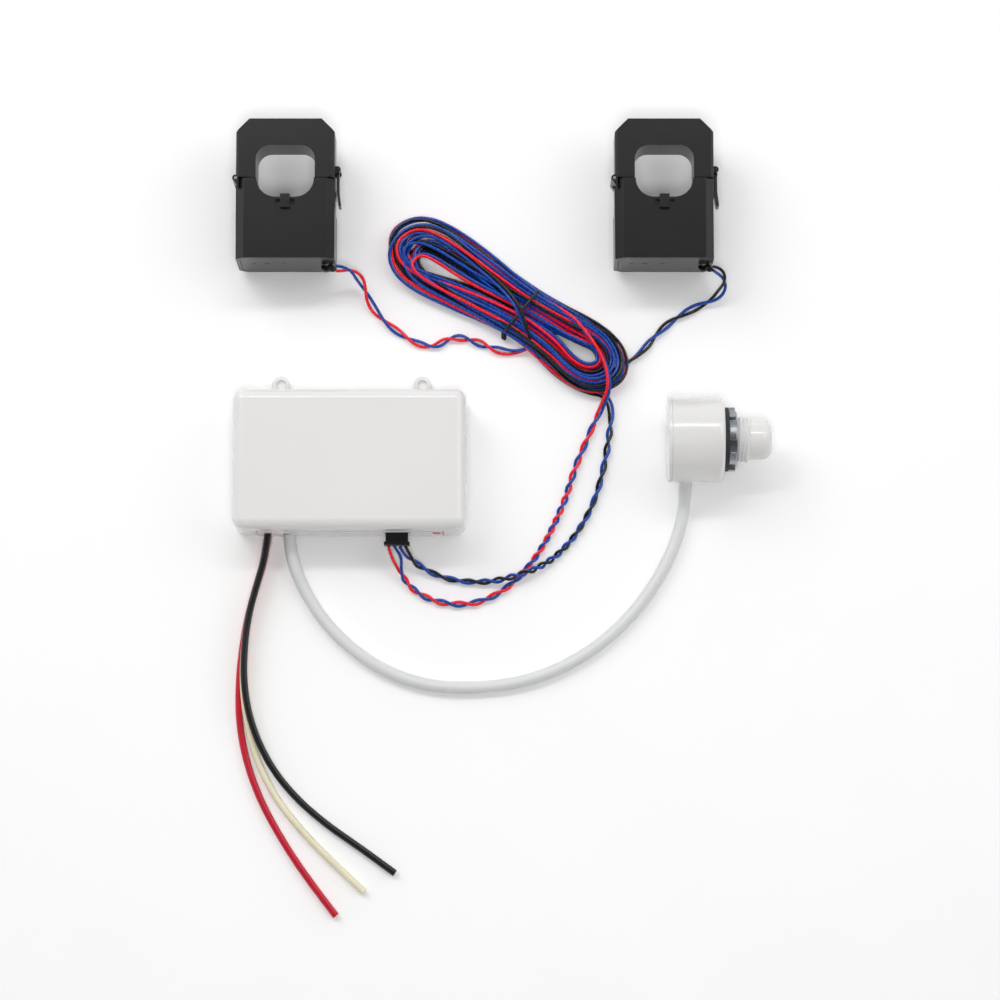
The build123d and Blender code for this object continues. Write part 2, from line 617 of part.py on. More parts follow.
ct_left_lead_outer = [
    (ct_left_x + knot_end_x, knot_y, lead_z), (-71.8, 27.8, 15.8), (-67.8, 27.0, 13.0), (-64.8, 24.4, 9.4),
    (-62.8, 20.4, 5.6), (-61.0, 15.8, 2.6), (-58.0, 10.6, 1.6), (-52.8, 5.2, 1.5), (-46.4, 0.2, 1.5),
    (-38.8, -4.4, 1.5), (-30.8, -6.2, 1.5), (-23.4, -1.2, 1.5), (-14.6, -2.2, 1.5), (-4.4, -6.6, 1.5),
    (4.0, -8.8, 1.7), (11.2, -7.4, 2.4), (16.0, -4.2, 3.2)]
ct_right_lead_outer = [
    (ct_right_x + knot_end_x, knot_y, lead_z), (99.0, 27.2, 15.8), (101.6, 25.0, 12.8), (102.2, 21.6, 9.2),
    (100.4, 18.2, 5.6), (96.6, 15.6, 2.6), (90.8, 13.2, 1.6), (84.0, 9.8, 1.5), (77.2, 5.5, 1.5),
    (70.8, -0.4, 1.5), (65.4, -7.2, 1.5), (59.6, -12.2, 1.6), (53.4, -16.0, 2.4)]
ct_left_lead_inner = [
    (-48.9, plug_end, plug_z), (-48.4, -103.4, 10.4), (-47.0, -108.0, 6.6), (-44.8, -112.6, 3.0),
    (-41.0, -117.4, 1.6), (-35.4, -121.2, 1.5), (-28.6, -123.8, 1.5), (-20.4, -124.9, 1.5),
    (-11.8, -124.3, 1.5), (-3.0, -120.9, 1.5), (5.4, -115.0, 1.5), (12.2, -107.7, 1.5), (18.6, -98.8, 1.5),
    (24.4, -87.6, 1.5), (29.6, -75.4, 1.5), (33.4, -62.6, 1.5), (38.2, -51.0, 1.5), (42.0, -39.0, 1.6),
    (45.2, -29.6, 2.2), (47.2, -23.0, 3.4)]
ct_right_lead_inner = [
    (-45.5, plug_end, plug_z), (-43.8, -102.2, 10.2), (-40.4, -105.4, 6.6), (-35.6, -108.6, 3.2),
    (-28.6, -111.8, 1.6), (-20.8, -113.9, 1.5), (-12.4, -114.6, 1.6), (-4.6, -114.4, 2.4),
    (2.6, -113.2, 4.7), (10.4, -110.9, 4.8), (17.6, -107.8, 2.6), (25.2, -102.6, 1.5), (32.4, -94.9, 1.5),
    (39.2, -84.6, 1.5), (44.2, -72.4, 1.5), (47.4, -59.0, 1.5), (49.6, -45.6, 1.5), (50.6, -34.4, 1.6),
    (50.8, -26.4, 2.3), (51.2, -20.4, 3.6)]
gland_reach = antenna_radius + gland_proud
cable_start_y = antenna_y - gland_reach * cos(radians(cable_angle))
cable_start_z = antenna_z - gland_reach * sin(radians(cable_angle))
antenna_cable = [
    (antenna_rear_x + cable_at, cable_start_y, cable_start_z), (83.5, -77.6, 4.6), (82.0, -88.6, 2.75),
    (77.4, -101.6, 2.75), (70.4, -115.0, 2.75), (60.8, -128.2, 2.75), (47.8, -141.2, 2.75),
    (31.0, -152.4, 2.75), (12.6, -159.8, 2.75), (-8.0, -163.0, 2.75), (-29.4, -162.8, 2.75),
    (-48.6, -157.6, 2.75), (-65.4, -147.6, 2.75), (-80.0, -133.8, 2.75), (-89.8, -118.6, 3.4),
    (-95.4, -105.0, 6.4), (module_x + antenna_cable_x, module_face, antenna_cable_z)]
line_lead_black = [
    (lead_start_x, module_face, lead_low_z + 2 * lead_pitch), (-107.2, -104.2, 10.2), (-111.0, -117.0, 8.9),
    (-114.8, -131.0, 8.2), (-116.5, -147.0, 8.2), (-116.4, -163.0, 8.2), (-113.0, -180.4, 6.5),
    (-105.0, -197.8, 3.2), (-93.6, -212.2, 1.7), (-79.0, -224.8, 1.6), (-62.6, -235.9, 1.6),
    (-48.0, -246.6, 1.6)]
neutral_lead_white = [
    (lead_start_x, module_face, lead_low_z + lead_pitch), (-107.3, -104.0, 6.8), (-111.2, -116.8, 5.5),
    (-115.0, -130.8, 4.9), (-116.8, -146.8, 4.9), (-117.0, -163.0, 4.9), (-114.9, -180.0, 3.3),
    (-110.2, -197.0, 1.7), (-101.8, -213.2, 1.6), (-89.8, -228.0, 1.6), (-76.0, -241.8, 1.6),
    (-61.8, -255.0, 1.6)]
line_lead_red = [
    (lead_start_x, module_face, lead_low_z), (-107.4, -103.8, 3.4), (-111.4, -116.6, 2.1),
    (-115.4, -130.6, 1.6), (-117.9, -146.6, 1.6), (-119.2, -162.8, 1.6), (-118.7, -179.8, 1.6),
    (-115.2, -197.2, 1.6), (-108.6, -214.6, 1.6), (-98.6, -232.4, 1.6), (-87.0, -249.6, 1.6),
    (-74.4, -265.7, 1.6)]


def make_hank():
    outline = Spline((-70, 0), (-65, 11), (-52, 16.4), (-30, 13.6), (0, 9.9), (20, 11), (37, 11.6), (49, 7.6),
                     (54, -1.5), (49, -12), (37, -16.2), (20, -12.8), (0, -9.9), (-30, -13.8), (-53, -16.8),
                     (-65, -11), periodic=True)
    place = Pos(hank_x, hank_y, 0) * Rot(0, 0, hank_turn)
    hank = extrude(make_face(outline), hank_height)
    outer = block(-tie_band / 2, tie_band / 2, -tie_half_span - tie_wall, tie_half_span + tie_wall,
                  0, hank_height + tie_wall)
    ring = outer - block(-tie_band / 2, tie_band / 2, -tie_half_span, tie_half_span, tie_wall, hank_height)
    keep("lead_hank", place * (hank - ring))
    keep("hank_tie", place * ring)


make_module()
make_ct("left", ct_left_x)
make_ct("right", ct_right_x)
make_antenna()
cord_tube("ct_left_lead_outer", ct_left_lead_outer, pair_diameter)
cord_tube("ct_right_lead_outer", ct_right_lead_outer, pair_diameter)
cord_tube("ct_left_lead_inner", ct_left_lead_inner, pair_diameter)
cord_tube("ct_right_lead_inner", ct_right_lead_inner, pair_diameter)
cord_tube("antenna_cable", antenna_cable, antenna_cable_diameter)
cord_tube("line_lead_black", line_lead_black, lead_diameter)
cord_tube("neutral_lead_white", neutral_lead_white, lead_diameter)
cord_tube("line_lead_red", line_lead_red, lead_diameter)
make_hank()

os.makedirs("parts", exist_ok=True)
for name, shape in nodes.items():
    export_step(shape, f"parts/{name}.step")
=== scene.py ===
import json
from math import atan2, cos, pi, radians, sin

import bmesh
import bpy
from mathutils import Matrix, Vector

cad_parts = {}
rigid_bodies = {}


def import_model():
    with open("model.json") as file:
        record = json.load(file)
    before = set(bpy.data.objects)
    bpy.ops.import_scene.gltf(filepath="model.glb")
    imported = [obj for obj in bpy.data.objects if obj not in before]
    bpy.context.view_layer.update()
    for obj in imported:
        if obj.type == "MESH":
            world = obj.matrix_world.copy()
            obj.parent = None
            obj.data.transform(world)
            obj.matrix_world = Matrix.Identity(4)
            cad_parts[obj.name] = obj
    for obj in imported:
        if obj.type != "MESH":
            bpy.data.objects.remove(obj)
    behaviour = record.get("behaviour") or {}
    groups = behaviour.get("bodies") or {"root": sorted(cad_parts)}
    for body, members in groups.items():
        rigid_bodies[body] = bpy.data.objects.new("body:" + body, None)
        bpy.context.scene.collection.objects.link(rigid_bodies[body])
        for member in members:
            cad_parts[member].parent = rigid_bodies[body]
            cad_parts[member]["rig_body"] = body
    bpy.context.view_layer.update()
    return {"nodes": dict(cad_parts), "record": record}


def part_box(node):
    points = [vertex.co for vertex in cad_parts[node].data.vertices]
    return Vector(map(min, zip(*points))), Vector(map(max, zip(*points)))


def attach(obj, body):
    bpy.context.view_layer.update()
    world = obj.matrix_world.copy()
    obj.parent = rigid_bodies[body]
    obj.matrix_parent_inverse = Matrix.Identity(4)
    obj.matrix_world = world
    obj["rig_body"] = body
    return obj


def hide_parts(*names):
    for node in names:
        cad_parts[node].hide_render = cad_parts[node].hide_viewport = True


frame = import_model()
nodes = frame["nodes"]
print("frame loaded:", len(nodes), "nodes")

mm = 0.001


def linear(hexColour):
    # sRGB hex to the linear values that shaders take
    channels = [int(hexColour[i:i + 2], 16) / 255 for i in (1, 3, 5)]
    return [c / 12.92 if c <= 0.04045 else ((c + 0.055) / 1.055) ** 2.4 for c in channels] + [1.0]


def addNode(tree, kind, values=None, links=None, **settings):
    # one node with its settings, its plain input values and what is linked into it
    made = tree.nodes.new(kind)
    for name, value in settings.items():
        setattr(made, name, value)
    for name, value in (values or {}).items():
        made.inputs[name].default_value = value
    for name, source in (links or {}).items():
        tree.links.new(source, made.inputs[name])
    return made


def newMaterial(name, look):
    # an empty material with its shader; a look's uniform values sit on the shader's own sockets
    material = bpy.data.materials.new(name)
    material.use_nodes = True
    tree = material.node_tree
    tree.nodes.clear()
    shader = addNode(tree, "ShaderNodeBsdfPrincipled", look)
    addNode(tree, "ShaderNodeOutputMaterial", links={"Surface": shader.outputs["BSDF"]})
    place = addNode(tree, "ShaderNodeTexCoord").outputs["Object"]
    return material, tree, shader, place


def pieceFrom(mesh, name, material=None):
    piece = bpy.data.objects.new(name, mesh)
    bpy.context.scene.collection.objects.link(piece)
    if material:
        mesh.materials.clear()
        mesh.materials.append(material)
    return piece


def smoothShade(mesh, sharpAngle=32):
    mesh.polygons.foreach_set("use_smooth", [True] * len(mesh.polygons))
    mesh.set_sharp_from_angle(angle=radians(sharpAngle))


def settle(piece, body, stands=()):
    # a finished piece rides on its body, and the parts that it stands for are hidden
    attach(piece, body)
    if stands:
        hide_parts(*stands)
    return piece


def bodyOf(node):
    return nodes[node]["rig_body"]


# Moulded plastics. tone is how far the colour drifts, blush how wide a drift is in mm, grain the width of
# the mould's texture in mm and depth its height in mm. Grain under 0.3 mm is drawn at 0.3 mm or more, so
# that it shows.
plastics = {
    "whiteAbs": {"colour": "#e3e2e1", "roughness": 0.24, "ior": 1.54, "coat": 0.25, "tone": 0.012,
                 "blush": 45.0, "grain": 0.9, "depth": 0.001},
    "antennaAbs": {"colour": "#dedddc", "roughness": 0.2, "ior": 1.54, "coat": 0.35, "tone": 0.012,
                   "blush": 30.0, "grain": 1.1, "depth": 0.001},
    "blackPcAbs": {"colour": "#151314", "roughness": 0.3, "ior": 1.58, "coat": 0.0, "specular": 0.36,
                   "tone": 0.12, "blush": 14.0, "grain": 0.34, "depth": 0.016},
    "blackNylon": {"colour": "#131314", "roughness": 0.36, "ior": 1.53, "coat": 0.1, "tone": 0.1,
                   "blush": 8.0, "grain": 0.5, "depth": 0.006},
    "redAbs": {"colour": "#c5202c", "roughness": 0.24, "ior": 1.54, "coat": 0.3, "tone": 0.05, "blush": 3.0,
               "grain": 0.5, "depth": 0.004},
    "naturalNylon": {"colour": "#d8d2c0", "roughness": 0.45, "ior": 1.53, "coat": 0.0, "tone": 0.05,
                     "blush": 7.0, "grain": 0.6, "depth": 0.01},
    "greenPbt": {"colour": "#2c8a48", "roughness": 0.38, "ior": 1.57, "coat": 0.08, "tone": 0.06,
                 "blush": 6.0, "grain": 0.5, "depth": 0.008},
    "blackEpoxy": {"colour": "#161617", "roughness": 0.5, "ior": 1.55, "coat": 0.0, "tone": 0.14,
                   "blush": 4.0, "grain": 0.3, "depth": 0.012},
    "blueEpoxy": {"colour": "#1f4f9e", "roughness": 0.3, "ior": 1.55, "coat": 0.25, "tone": 0.08,
                  "blush": 3.0, "grain": 1.4, "depth": 0.04},
    "sleevePvc": {"colour": "#20263a", "roughness": 0.3, "ior": 1.54, "coat": 0.2, "tone": 0.08,
                  "blush": 5.0, "grain": 0.8, "depth": 0.006},
    "fuseCeramic": {"colour": "#dcd8cc", "roughness": 0.3, "ior": 1.6, "coat": 0.2, "tone": 0.04,
                    "blush": 3.0, "grain": 0.4, "depth": 0.008},
}


def mouldedPlastic(name):
    # an even skin with a faint drift of tone, and a fine grain from the tool that breaks up the shine
    look = plastics[name]
    material, tree, shader, place = newMaterial(name, {
        "IOR": look["ior"], "Specular IOR Level": look.get("specular", 0.5), "Coat Weight": look["coat"],
        "Coat Roughness": 0.08})
    drift = addNode(tree, "ShaderNodeTexNoise", {"Scale": 1 / (look["blush"] * mm), "Detail": 2.0,
                                                 "Roughness": 0.5},
                    {"Vector": place})
    base = linear(look["colour"])
    tones = addNode(tree, "ShaderNodeValToRGB", links={"Fac": drift.outputs["Fac"]})
    tones.color_ramp.elements[0].position = 0.3
    tones.color_ramp.elements[1].position = 0.7
    for element, sign in zip(tones.color_ramp.elements, (-1, 1)):
        element.color = [min(1.0, c * (1 + sign * look["tone"])) for c in base[:3]] + [1.0]
    tree.links.new(tones.outputs["Color"], shader.inputs["Base Color"])
    grain = addNode(tree, "ShaderNodeTexNoise", {"Scale": 1 / (look["grain"] * mm), "Detail": 3.0,
                                                 "Roughness": 0.6},
                    {"Vector": place})
    wear = addNode(tree, "ShaderNodeMapRange", {"To Min": look["roughness"] - 0.05,
                                                "To Max": look["roughness"] + 0.06},
                   {"Value": grain.outputs["Fac"]})
    tree.links.new(wear.outputs["Result"], shader.inputs["Roughness"])
    bump = addNode(tree, "ShaderNodeBump", {"Strength": 1.0, "Distance": look["depth"] * mm},
                   {"Height": grain.outputs["Fac"]})
    tree.links.new(bump.outputs["Normal"], shader.inputs["Normal"])
    return material


# Extruded PVC on wires. streak is the width in mm of the faint drawing lines, smear how far handling
# tints it.
insulations = {
    "redPvc": {"colour": "#e90f2c", "roughness": 0.26, "streak": 1.3, "smear": 0.08},
    "bluePvc": {"colour": "#043f9c", "roughness": 0.26, "streak": 1.3, "smear": 0.08},
    "blackPvc": {"colour": "#070607", "roughness": 0.26, "streak": 1.3, "smear": 0.06},
    "leadBlack": {"colour": "#111012", "roughness": 0.34, "streak": 2.2, "smear": 0.14},
    "leadWhite": {"colour": "#e6dfc2", "roughness": 0.34, "streak": 2.2, "smear": 0.05},
    "leadRed": {"colour": "#bd0e2c", "roughness": 0.34, "streak": 2.2, "smear": 0.1},
    "cableWhite": {"colour": "#d8d9da", "roughness": 0.4, "streak": 3.0, "smear": 0.02},
    "tieBlack": {"colour": "#141315", "roughness": 0.42, "streak": 1.0, "smear": 0.14},
}


def extrudedPvc(name):
    # soft shiny skin: slightly uneven in thickness, so its highlight wavers, with handling smears
    look = insulations[name]
    material, tree, shader, place = newMaterial(name, {"IOR": 1.53, "Coat Weight": 0.12,
                                                       "Coat Roughness": 0.15})
    smear = addNode(tree, "ShaderNodeTexNoise", {"Scale": 1 / (9.0 * mm), "Detail": 4.0, "Roughness": 0.55},
                    {"Vector": place})
    base = linear(look["colour"])
    tones = addNode(tree, "ShaderNodeValToRGB", links={"Fac": smear.outputs["Fac"]})
    tones.color_ramp.elements[0].position = 0.3
    tones.color_ramp.elements[1].position = 0.72
    tones.color_ramp.elements[0].color = [c * (1 - look["smear"]) for c in base[:3]] + [1.0]
    tones.color_ramp.elements[1].color = [min(1.0, c * (1 + look["smear"])) for c in base[:3]] + [1.0]
    tree.links.new(tones.outputs["Color"], shader.inputs["Base Color"])
    waver = addNode(tree, "ShaderNodeTexNoise", {"Scale": 1 / (look["streak"] * mm), "Detail": 2.0},
                    {"Vector": place})
    shine = addNode(tree, "ShaderNodeMapRange", {"To Min": look["roughness"] - 0.06,
                                                 "To Max": look["roughness"] + 0.1},
                    {"Value": waver.outputs["Fac"]})
    tree.links.new(shine.outputs["Result"], shader.inputs["Roughness"])
    bump = addNode(tree, "ShaderNodeBump", {"Strength": 1.0, "Distance": 0.02 * mm},
                   {"Height": waver.outputs["Fac"]})
    tree.links.new(bump.outputs["Normal"], shader.inputs["Normal"])
    return material


# Metals. grain is the width of the plating's or the rolling's marks in mm; stretch draws them out along X.
metals = {
    "zincPlate": {"colour": "#b4b8bd", "dark": "#8f9398", "roughness": 0.3, "grain": 0.6, "stretch": 1.0},
    "springSteel": {"colour": "#a3a3a3", "dark": "#77777a", "roughness": 0.3, "grain": 0.4, "stretch": 6.0},
    "screwSteel": {"colour": "#bcbdc0", "dark": "#86888c", "roughness": 0.3, "grain": 0.5, "stretch": 1.0},
    "tinPlate": {"colour": "#c9c9c6", "dark": "#9a9a97", "roughness": 0.28, "grain": 1.2, "stretch": 3.0},
    "bareCopper": {"colour": "#d18a5c", "dark": "#94532f", "roughness": 0.35, "grain": 0.4, "stretch": 1.0},
    "copperFoil": {"colour": "#cf9468", "dark": "#a8683e", "roughness": 0.3, "grain": 0.8, "stretch": 3.0},
}


def platedMetal(name):
    # bright metal with cloudy darker patches, and fine marks in its shine
    look = metals[name]
    material, tree, shader, place = newMaterial(name, {"Metallic": 1.0})
    lie = addNode(tree, "ShaderNodeMapping", {"Scale": (1 / look["stretch"], 1.0, 1.0)}, {"Vector": place})
    marks = addNode(tree, "ShaderNodeTexNoise", {"Scale": 1 / (look["grain"] * mm), "Detail": 5.0,
                                                 "Roughness": 0.65},
                    {"Vector": lie.outputs["Vector"]})
    tones = addNode(tree, "ShaderNodeValToRGB", links={"Fac": marks.outputs["Fac"]})
    tones.color_ramp.elements[0].position = 0.32
    tones.color_ramp.elements[1].position = 0.62
    tones.color_ramp.elements[0].color = linear(look["dark"])
    tones.color_ramp.elements[1].color = linear(look["colour"])
    tree.links.new(tones.outputs["Color"], shader.inputs["Base Color"])
    shine = addNode(tree, "ShaderNodeMapRange", {"To Min": look["roughness"] - 0.08,
                                                 "To Max": look["roughness"] + 0.14},
                    {"Value": marks.outputs["Fac"]})
    tree.links.new(shine.outputs["Result"], shader.inputs["Roughness"])
    bump = addNode(tree, "ShaderNodeBump", {"Strength": 1.0, "Distance": 0.01 * mm},
                   {"Height": marks.outputs["Fac"]})
    tree.links.new(bump.outputs["Normal"], shader.inputs["Normal"])
    return material


def mouldedRubber():
    # EPDM: dull, nearly black, with a dusty bloom and a fine talc grain
    material, tree, shader, place = newMaterial("mouldedEpdm", {"IOR": 1.5})
    bloom = addNode(tree, "ShaderNodeTexNoise", {"Scale": 1 / (5.0 * mm), "Detail": 6.0, "Roughness": 0.7},
                    {"Vector": place})
    tones = addNode(tree, "ShaderNodeValToRGB", links={"Fac": bloom.outputs["Fac"]})
    tones.color_ramp.elements[0].color = linear("#19191a")
    tones.color_ramp.elements[1].color = linear("#38383a")
    tones.color_ramp.elements[1].position = 0.8
    tree.links.new(tones.outputs["Color"], shader.inputs["Base Color"])
    talc = addNode(tree, "ShaderNodeTexNoise", {"Scale": 1 / (0.3 * mm), "Detail": 3.0}, {"Vector": place})
    dull = addNode(tree, "ShaderNodeMapRange", {"To Min": 0.58, "To Max": 0.8},
                   {"Value": talc.outputs["Fac"]})
    tree.links.new(dull.outputs["Result"], shader.inputs["Roughness"])
    bump = addNode(tree, "ShaderNodeBump", {"Strength": 1.0, "Distance": 0.02 * mm},
                   {"Height": talc.outputs["Fac"]})
    tree.links.new(bump.outputs["Normal"], shader.inputs["Normal"])
    return material


def solderMask():
    # green coated laminate: the glass weave, 0.6 mm to a yarn, shows faintly through the coat
    material, tree, shader, place = newMaterial("solderMask", {"IOR": 1.5, "Coat Weight": 0.4,
                                                               "Coat Roughness": 0.1})
    weaveAlong = addNode(tree, "ShaderNodeTexWave", {"Scale": 1 / (1.2 * mm) / 10, "Distortion": 0.0},
                         {"Vector": place}, bands_direction="X")
    weaveAcross = addNode(tree, "ShaderNodeTexWave", {"Scale": 1 / (1.2 * mm) / 10, "Distortion": 0.0},
                          {"Vector": place}, bands_direction="Y")
    weave = addNode(tree, "ShaderNodeMath", operation="MULTIPLY")
    tree.links.new(weaveAlong.outputs["Fac"], weave.inputs[0])
    tree.links.new(weaveAcross.outputs["Fac"], weave.inputs[1])
    tones = addNode(tree, "ShaderNodeValToRGB", links={"Fac": weave.outputs["Value"]})
    tones.color_ramp.elements[0].color = linear("#0f4a26")
    tones.color_ramp.elements[1].color = linear("#1c6a39")
    tree.links.new(tones.outputs["Color"], shader.inputs["Base Color"])
    shine = addNode(tree, "ShaderNodeMapRange", {"To Min": 0.2, "To Max": 0.32},
                    {"Value": weave.outputs["Value"]})
    tree.links.new(shine.outputs["Result"], shader.inputs["Roughness"])
    return material


def enamelledWinding():
    # fine enamelled wire, 0.3 mm from turn to turn, wound round X: rounded ridges in amber copper, with
    # painted shade in the grooves between the turns
    material, tree, shader, place = newMaterial("enamelledCopper", {"Metallic": 0.7, "Coat Weight": 0.5,
                                                                    "Coat Roughness": 0.15})
    turns = addNode(tree, "ShaderNodeTexWave", {"Scale": 1 / (0.6 * mm) / 10, "Distortion": 0.4,
                                                "Detail": 1.0},
                    {"Vector": place}, bands_direction="X")
    # painted shade: the copper darkens in the grooves between the turns, where the bump runs low
    tones = addNode(tree, "ShaderNodeValToRGB", links={"Fac": turns.outputs["Fac"]})
    tones.color_ramp.elements[0].color = linear("#6b2f12")
    tones.color_ramp.elements[1].color = linear("#c8743a")
    tree.links.new(tones.outputs["Color"], shader.inputs["Base Color"])
    shine = addNode(tree, "ShaderNodeMapRange", {"To Min": 0.25, "To Max": 0.4},
                    {"Value": turns.outputs["Fac"]})
    tree.links.new(shine.outputs["Result"], shader.inputs["Roughness"])
    bump = addNode(tree, "ShaderNodeBump", {"Strength": 1.0, "Distance": 0.08 * mm},
                   {"Height": turns.outputs["Fac"]})
    tree.links.new(bump.outputs["Normal"], shader.inputs["Normal"])
    return material


def laminatedCore():
    # stacked silicon steel: plies 0.35 mm thick along Z, ground, with a thin grey oxide
    material, tree, shader, place = newMaterial("laminatedSteel", {"Metallic": 0.85})
    plies = addNode(tree, "ShaderNodeTexWave", {"Scale": 1 / (0.7 * mm) / 10, "Distortion": 0.6,
                                                "Detail": 2.0},
                    {"Vector": place}, bands_direction="Z")
    tones = addNode(tree, "ShaderNodeValToRGB", links={"Fac": plies.outputs["Fac"]})
    tones.color_ramp.elements[0].color = linear("#3d3e42")
    tones.color_ramp.elements[1].color = linear("#7b7d82")
    tree.links.new(tones.outputs["Color"], shader.inputs["Base Color"])
    shine = addNode(tree, "ShaderNodeMapRange", {"To Min": 0.35, "To Max": 0.55},
                    {"Value": plies.outputs["Fac"]})
    tree.links.new(shine.outputs["Result"], shader.inputs["Roughness"])
    bump = addNode(tree, "ShaderNodeBump", {"Strength": 1.0, "Distance": 0.03 * mm},
                   {"Height": plies.outputs["Fac"]})
    tree.links.new(bump.outputs["Normal"], shader.inputs["Normal"])
    return material


finishes = {name: mouldedPlastic(name) for name in plastics}
finishes.update({name: extrudedPvc(name) for name in insulations})
finishes.update({name: platedMetal(name) for name in metals})
finishes.update({"mouldedEpdm": mouldedRubber(), "solderMask": solderMask(),
                 "enamelledCopper": enamelledWinding(), "laminatedSteel": laminatedCore()})
print("materials:", len(finishes))


view = {"at": (-0.00066, -0.31324, 1.68346), "tip": 8, "lens": 133.9, "sensor": 36.0, "farClip": 10.0}
camera = bpy.data.objects.new("camera", bpy.data.cameras.new("camera"))
bpy.context.scene.collection.objects.link(camera)
camera.data.lens = view["lens"]
camera.data.sensor_width = view["sensor"]
camera.data.clip_end = view["farClip"]
camera.location = view["at"]
camera.rotation_euler = (radians(view["tip"]), 0, 0)
bpy.context.scene.camera = camera

studio = {
    "zenith": 0.1, "horizon": 0.8,       # how bright the room is overhead and all round
    "near": 0.55, "far": 1.2,            # how much dimmer and brighter it is on the near and the far side
    "lamps": {
        "strip": {"at": (-0.1, 0.82, 1.55), "size": (1.5, 0.14), "power": 7.5, "shines": True},
        "key": {"at": (-0.9, 0.75, 1.15), "size": (0.9, 0.9), "power": 7.5, "shines": True},
        "fill": {"at": (1.0, 0.35, 1.05), "size": (1.0, 1.0), "power": 4.5, "shines": True},
        "top": {"at": (0.0, -0.45, 1.68), "size": (0.4, 0.4), "power": 9.0, "shines": False},
    },
    "floorSize": 6.0, "floorColour": "#fefefe", "floorShade": "#fbfbfb",
}


def lightStudio():
    world = bpy.data.worlds.new("studioWorld")
    world.use_nodes = True
    room = world.node_tree
    room.nodes.clear()
    way = addNode(room, "ShaderNodeTexCoord")
    parts = addNode(room, "ShaderNodeSeparateXYZ", links={"Vector": way.outputs["Generated"]})
    bright = addNode(room, "ShaderNodeMapRange", {
        "From Min": 0.15, "From Max": 0.85, "To Min": studio["horizon"], "To Max": studio["zenith"]},
        {"Value": parts.outputs["Z"]})
    side = addNode(room, "ShaderNodeMapRange", {
        "From Min": -1.0, "From Max": 1.0, "To Min": studio["near"], "To Max": studio["far"]},
        {"Value": parts.outputs["Y"]})
    both = addNode(room, "ShaderNodeMath", operation="MULTIPLY")
    room.links.new(bright.outputs["Result"], both.inputs[0])
    room.links.new(side.outputs["Result"], both.inputs[1])
    sky = addNode(room, "ShaderNodeBackground", {"Color": (1, 1, 1, 1)},
                  {"Strength": both.outputs["Value"]})
    addNode(room, "ShaderNodeOutputWorld", links={"Surface": sky.outputs["Background"]})
    bpy.context.scene.world = world
    bpy.context.scene.view_settings.view_transform = "Standard"
    target = Vector((0, -0.04, 0))
    for name, look in studio["lamps"].items():
        lamp = bpy.data.lights.new(name, "AREA")
        lamp.shape = "RECTANGLE"
        lamp.size, lamp.size_y = look["size"]
        lamp.energy = look["power"]
        holder = bpy.data.objects.new(name, lamp)
        bpy.context.scene.collection.objects.link(holder)
        holder.location = look["at"]
        holder.visible_glossy = look["shines"]
        holder.rotation_euler = (target - Vector(look["at"])).to_track_quat("-Z", "Y").to_euler()
    material, tree, shader, place = newMaterial("paperFloor", {"Roughness": 0.9, "Specular IOR Level": 0.1})
    paper = addNode(tree, "ShaderNodeTexNoise", {"Scale": 1 / (60 * mm), "Detail": 2.0}, {"Vector": place})
    tones = addNode(tree, "ShaderNodeValToRGB", links={"Fac": paper.outputs["Fac"]})
    tones.color_ramp.elements[0].color = linear(studio["floorShade"])
    tones.color_ramp.elements[1].color = linear(studio["floorColour"])
    tree.links.new(tones.outputs["Color"], shader.inputs["Base Color"])
    half = studio["floorSize"] / 2
    mesh = bpy.data.meshes.new("floor")
    mesh.from_pydata([(-half, -half, 0), (half, -half, 0), (half, half, 0), (-half, half, 0)], [],
                     [(0, 1, 2, 3)])
    floor = pieceFrom(mesh, "floor", material)
    floor.location.z = -0.2 * mm


lightStudio()
print("studio ready")


def routeCurve(name, points, thickness=0.0, resolution=10):
    # one smooth open spline through the route's control points
    curve = bpy.data.curves.new(name, "CURVE")
    curve.dimensions = "3D"
    curve.resolution_u = resolution
    spline = curve.splines.new("NURBS")
    spline.points.add(len(points) - 1)
    for spot, point in zip(spline.points, points):
        spot.co = (*point, 1.0)
    spline.order_u = 3
    spline.use_endpoint_u = True
    if thickness:
        curve.bevel_depth = thickness / 2
        curve.bevel_resolution = 6
        curve.use_fill_caps = True
    holder = bpy.data.objects.new(name, curve)
    bpy.context.scene.collection.objects.link(holder)
    return holder


def followed(points, resolution=10):
    # the points that a bevel-less spline passes, in order
    holder = routeCurve("guide", points, resolution=resolution)
    bpy.context.view_layer.update()
    mesh = bpy.data.meshes.new_from_object(holder)
    line = [v.co.copy() for v in mesh.vertices]
    bpy.data.objects.remove(holder)
    bpy.data.meshes.remove(mesh)
    return line


def lengthOf(line):
    return sum((b - a).length for a, b in zip(line, line[1:]))


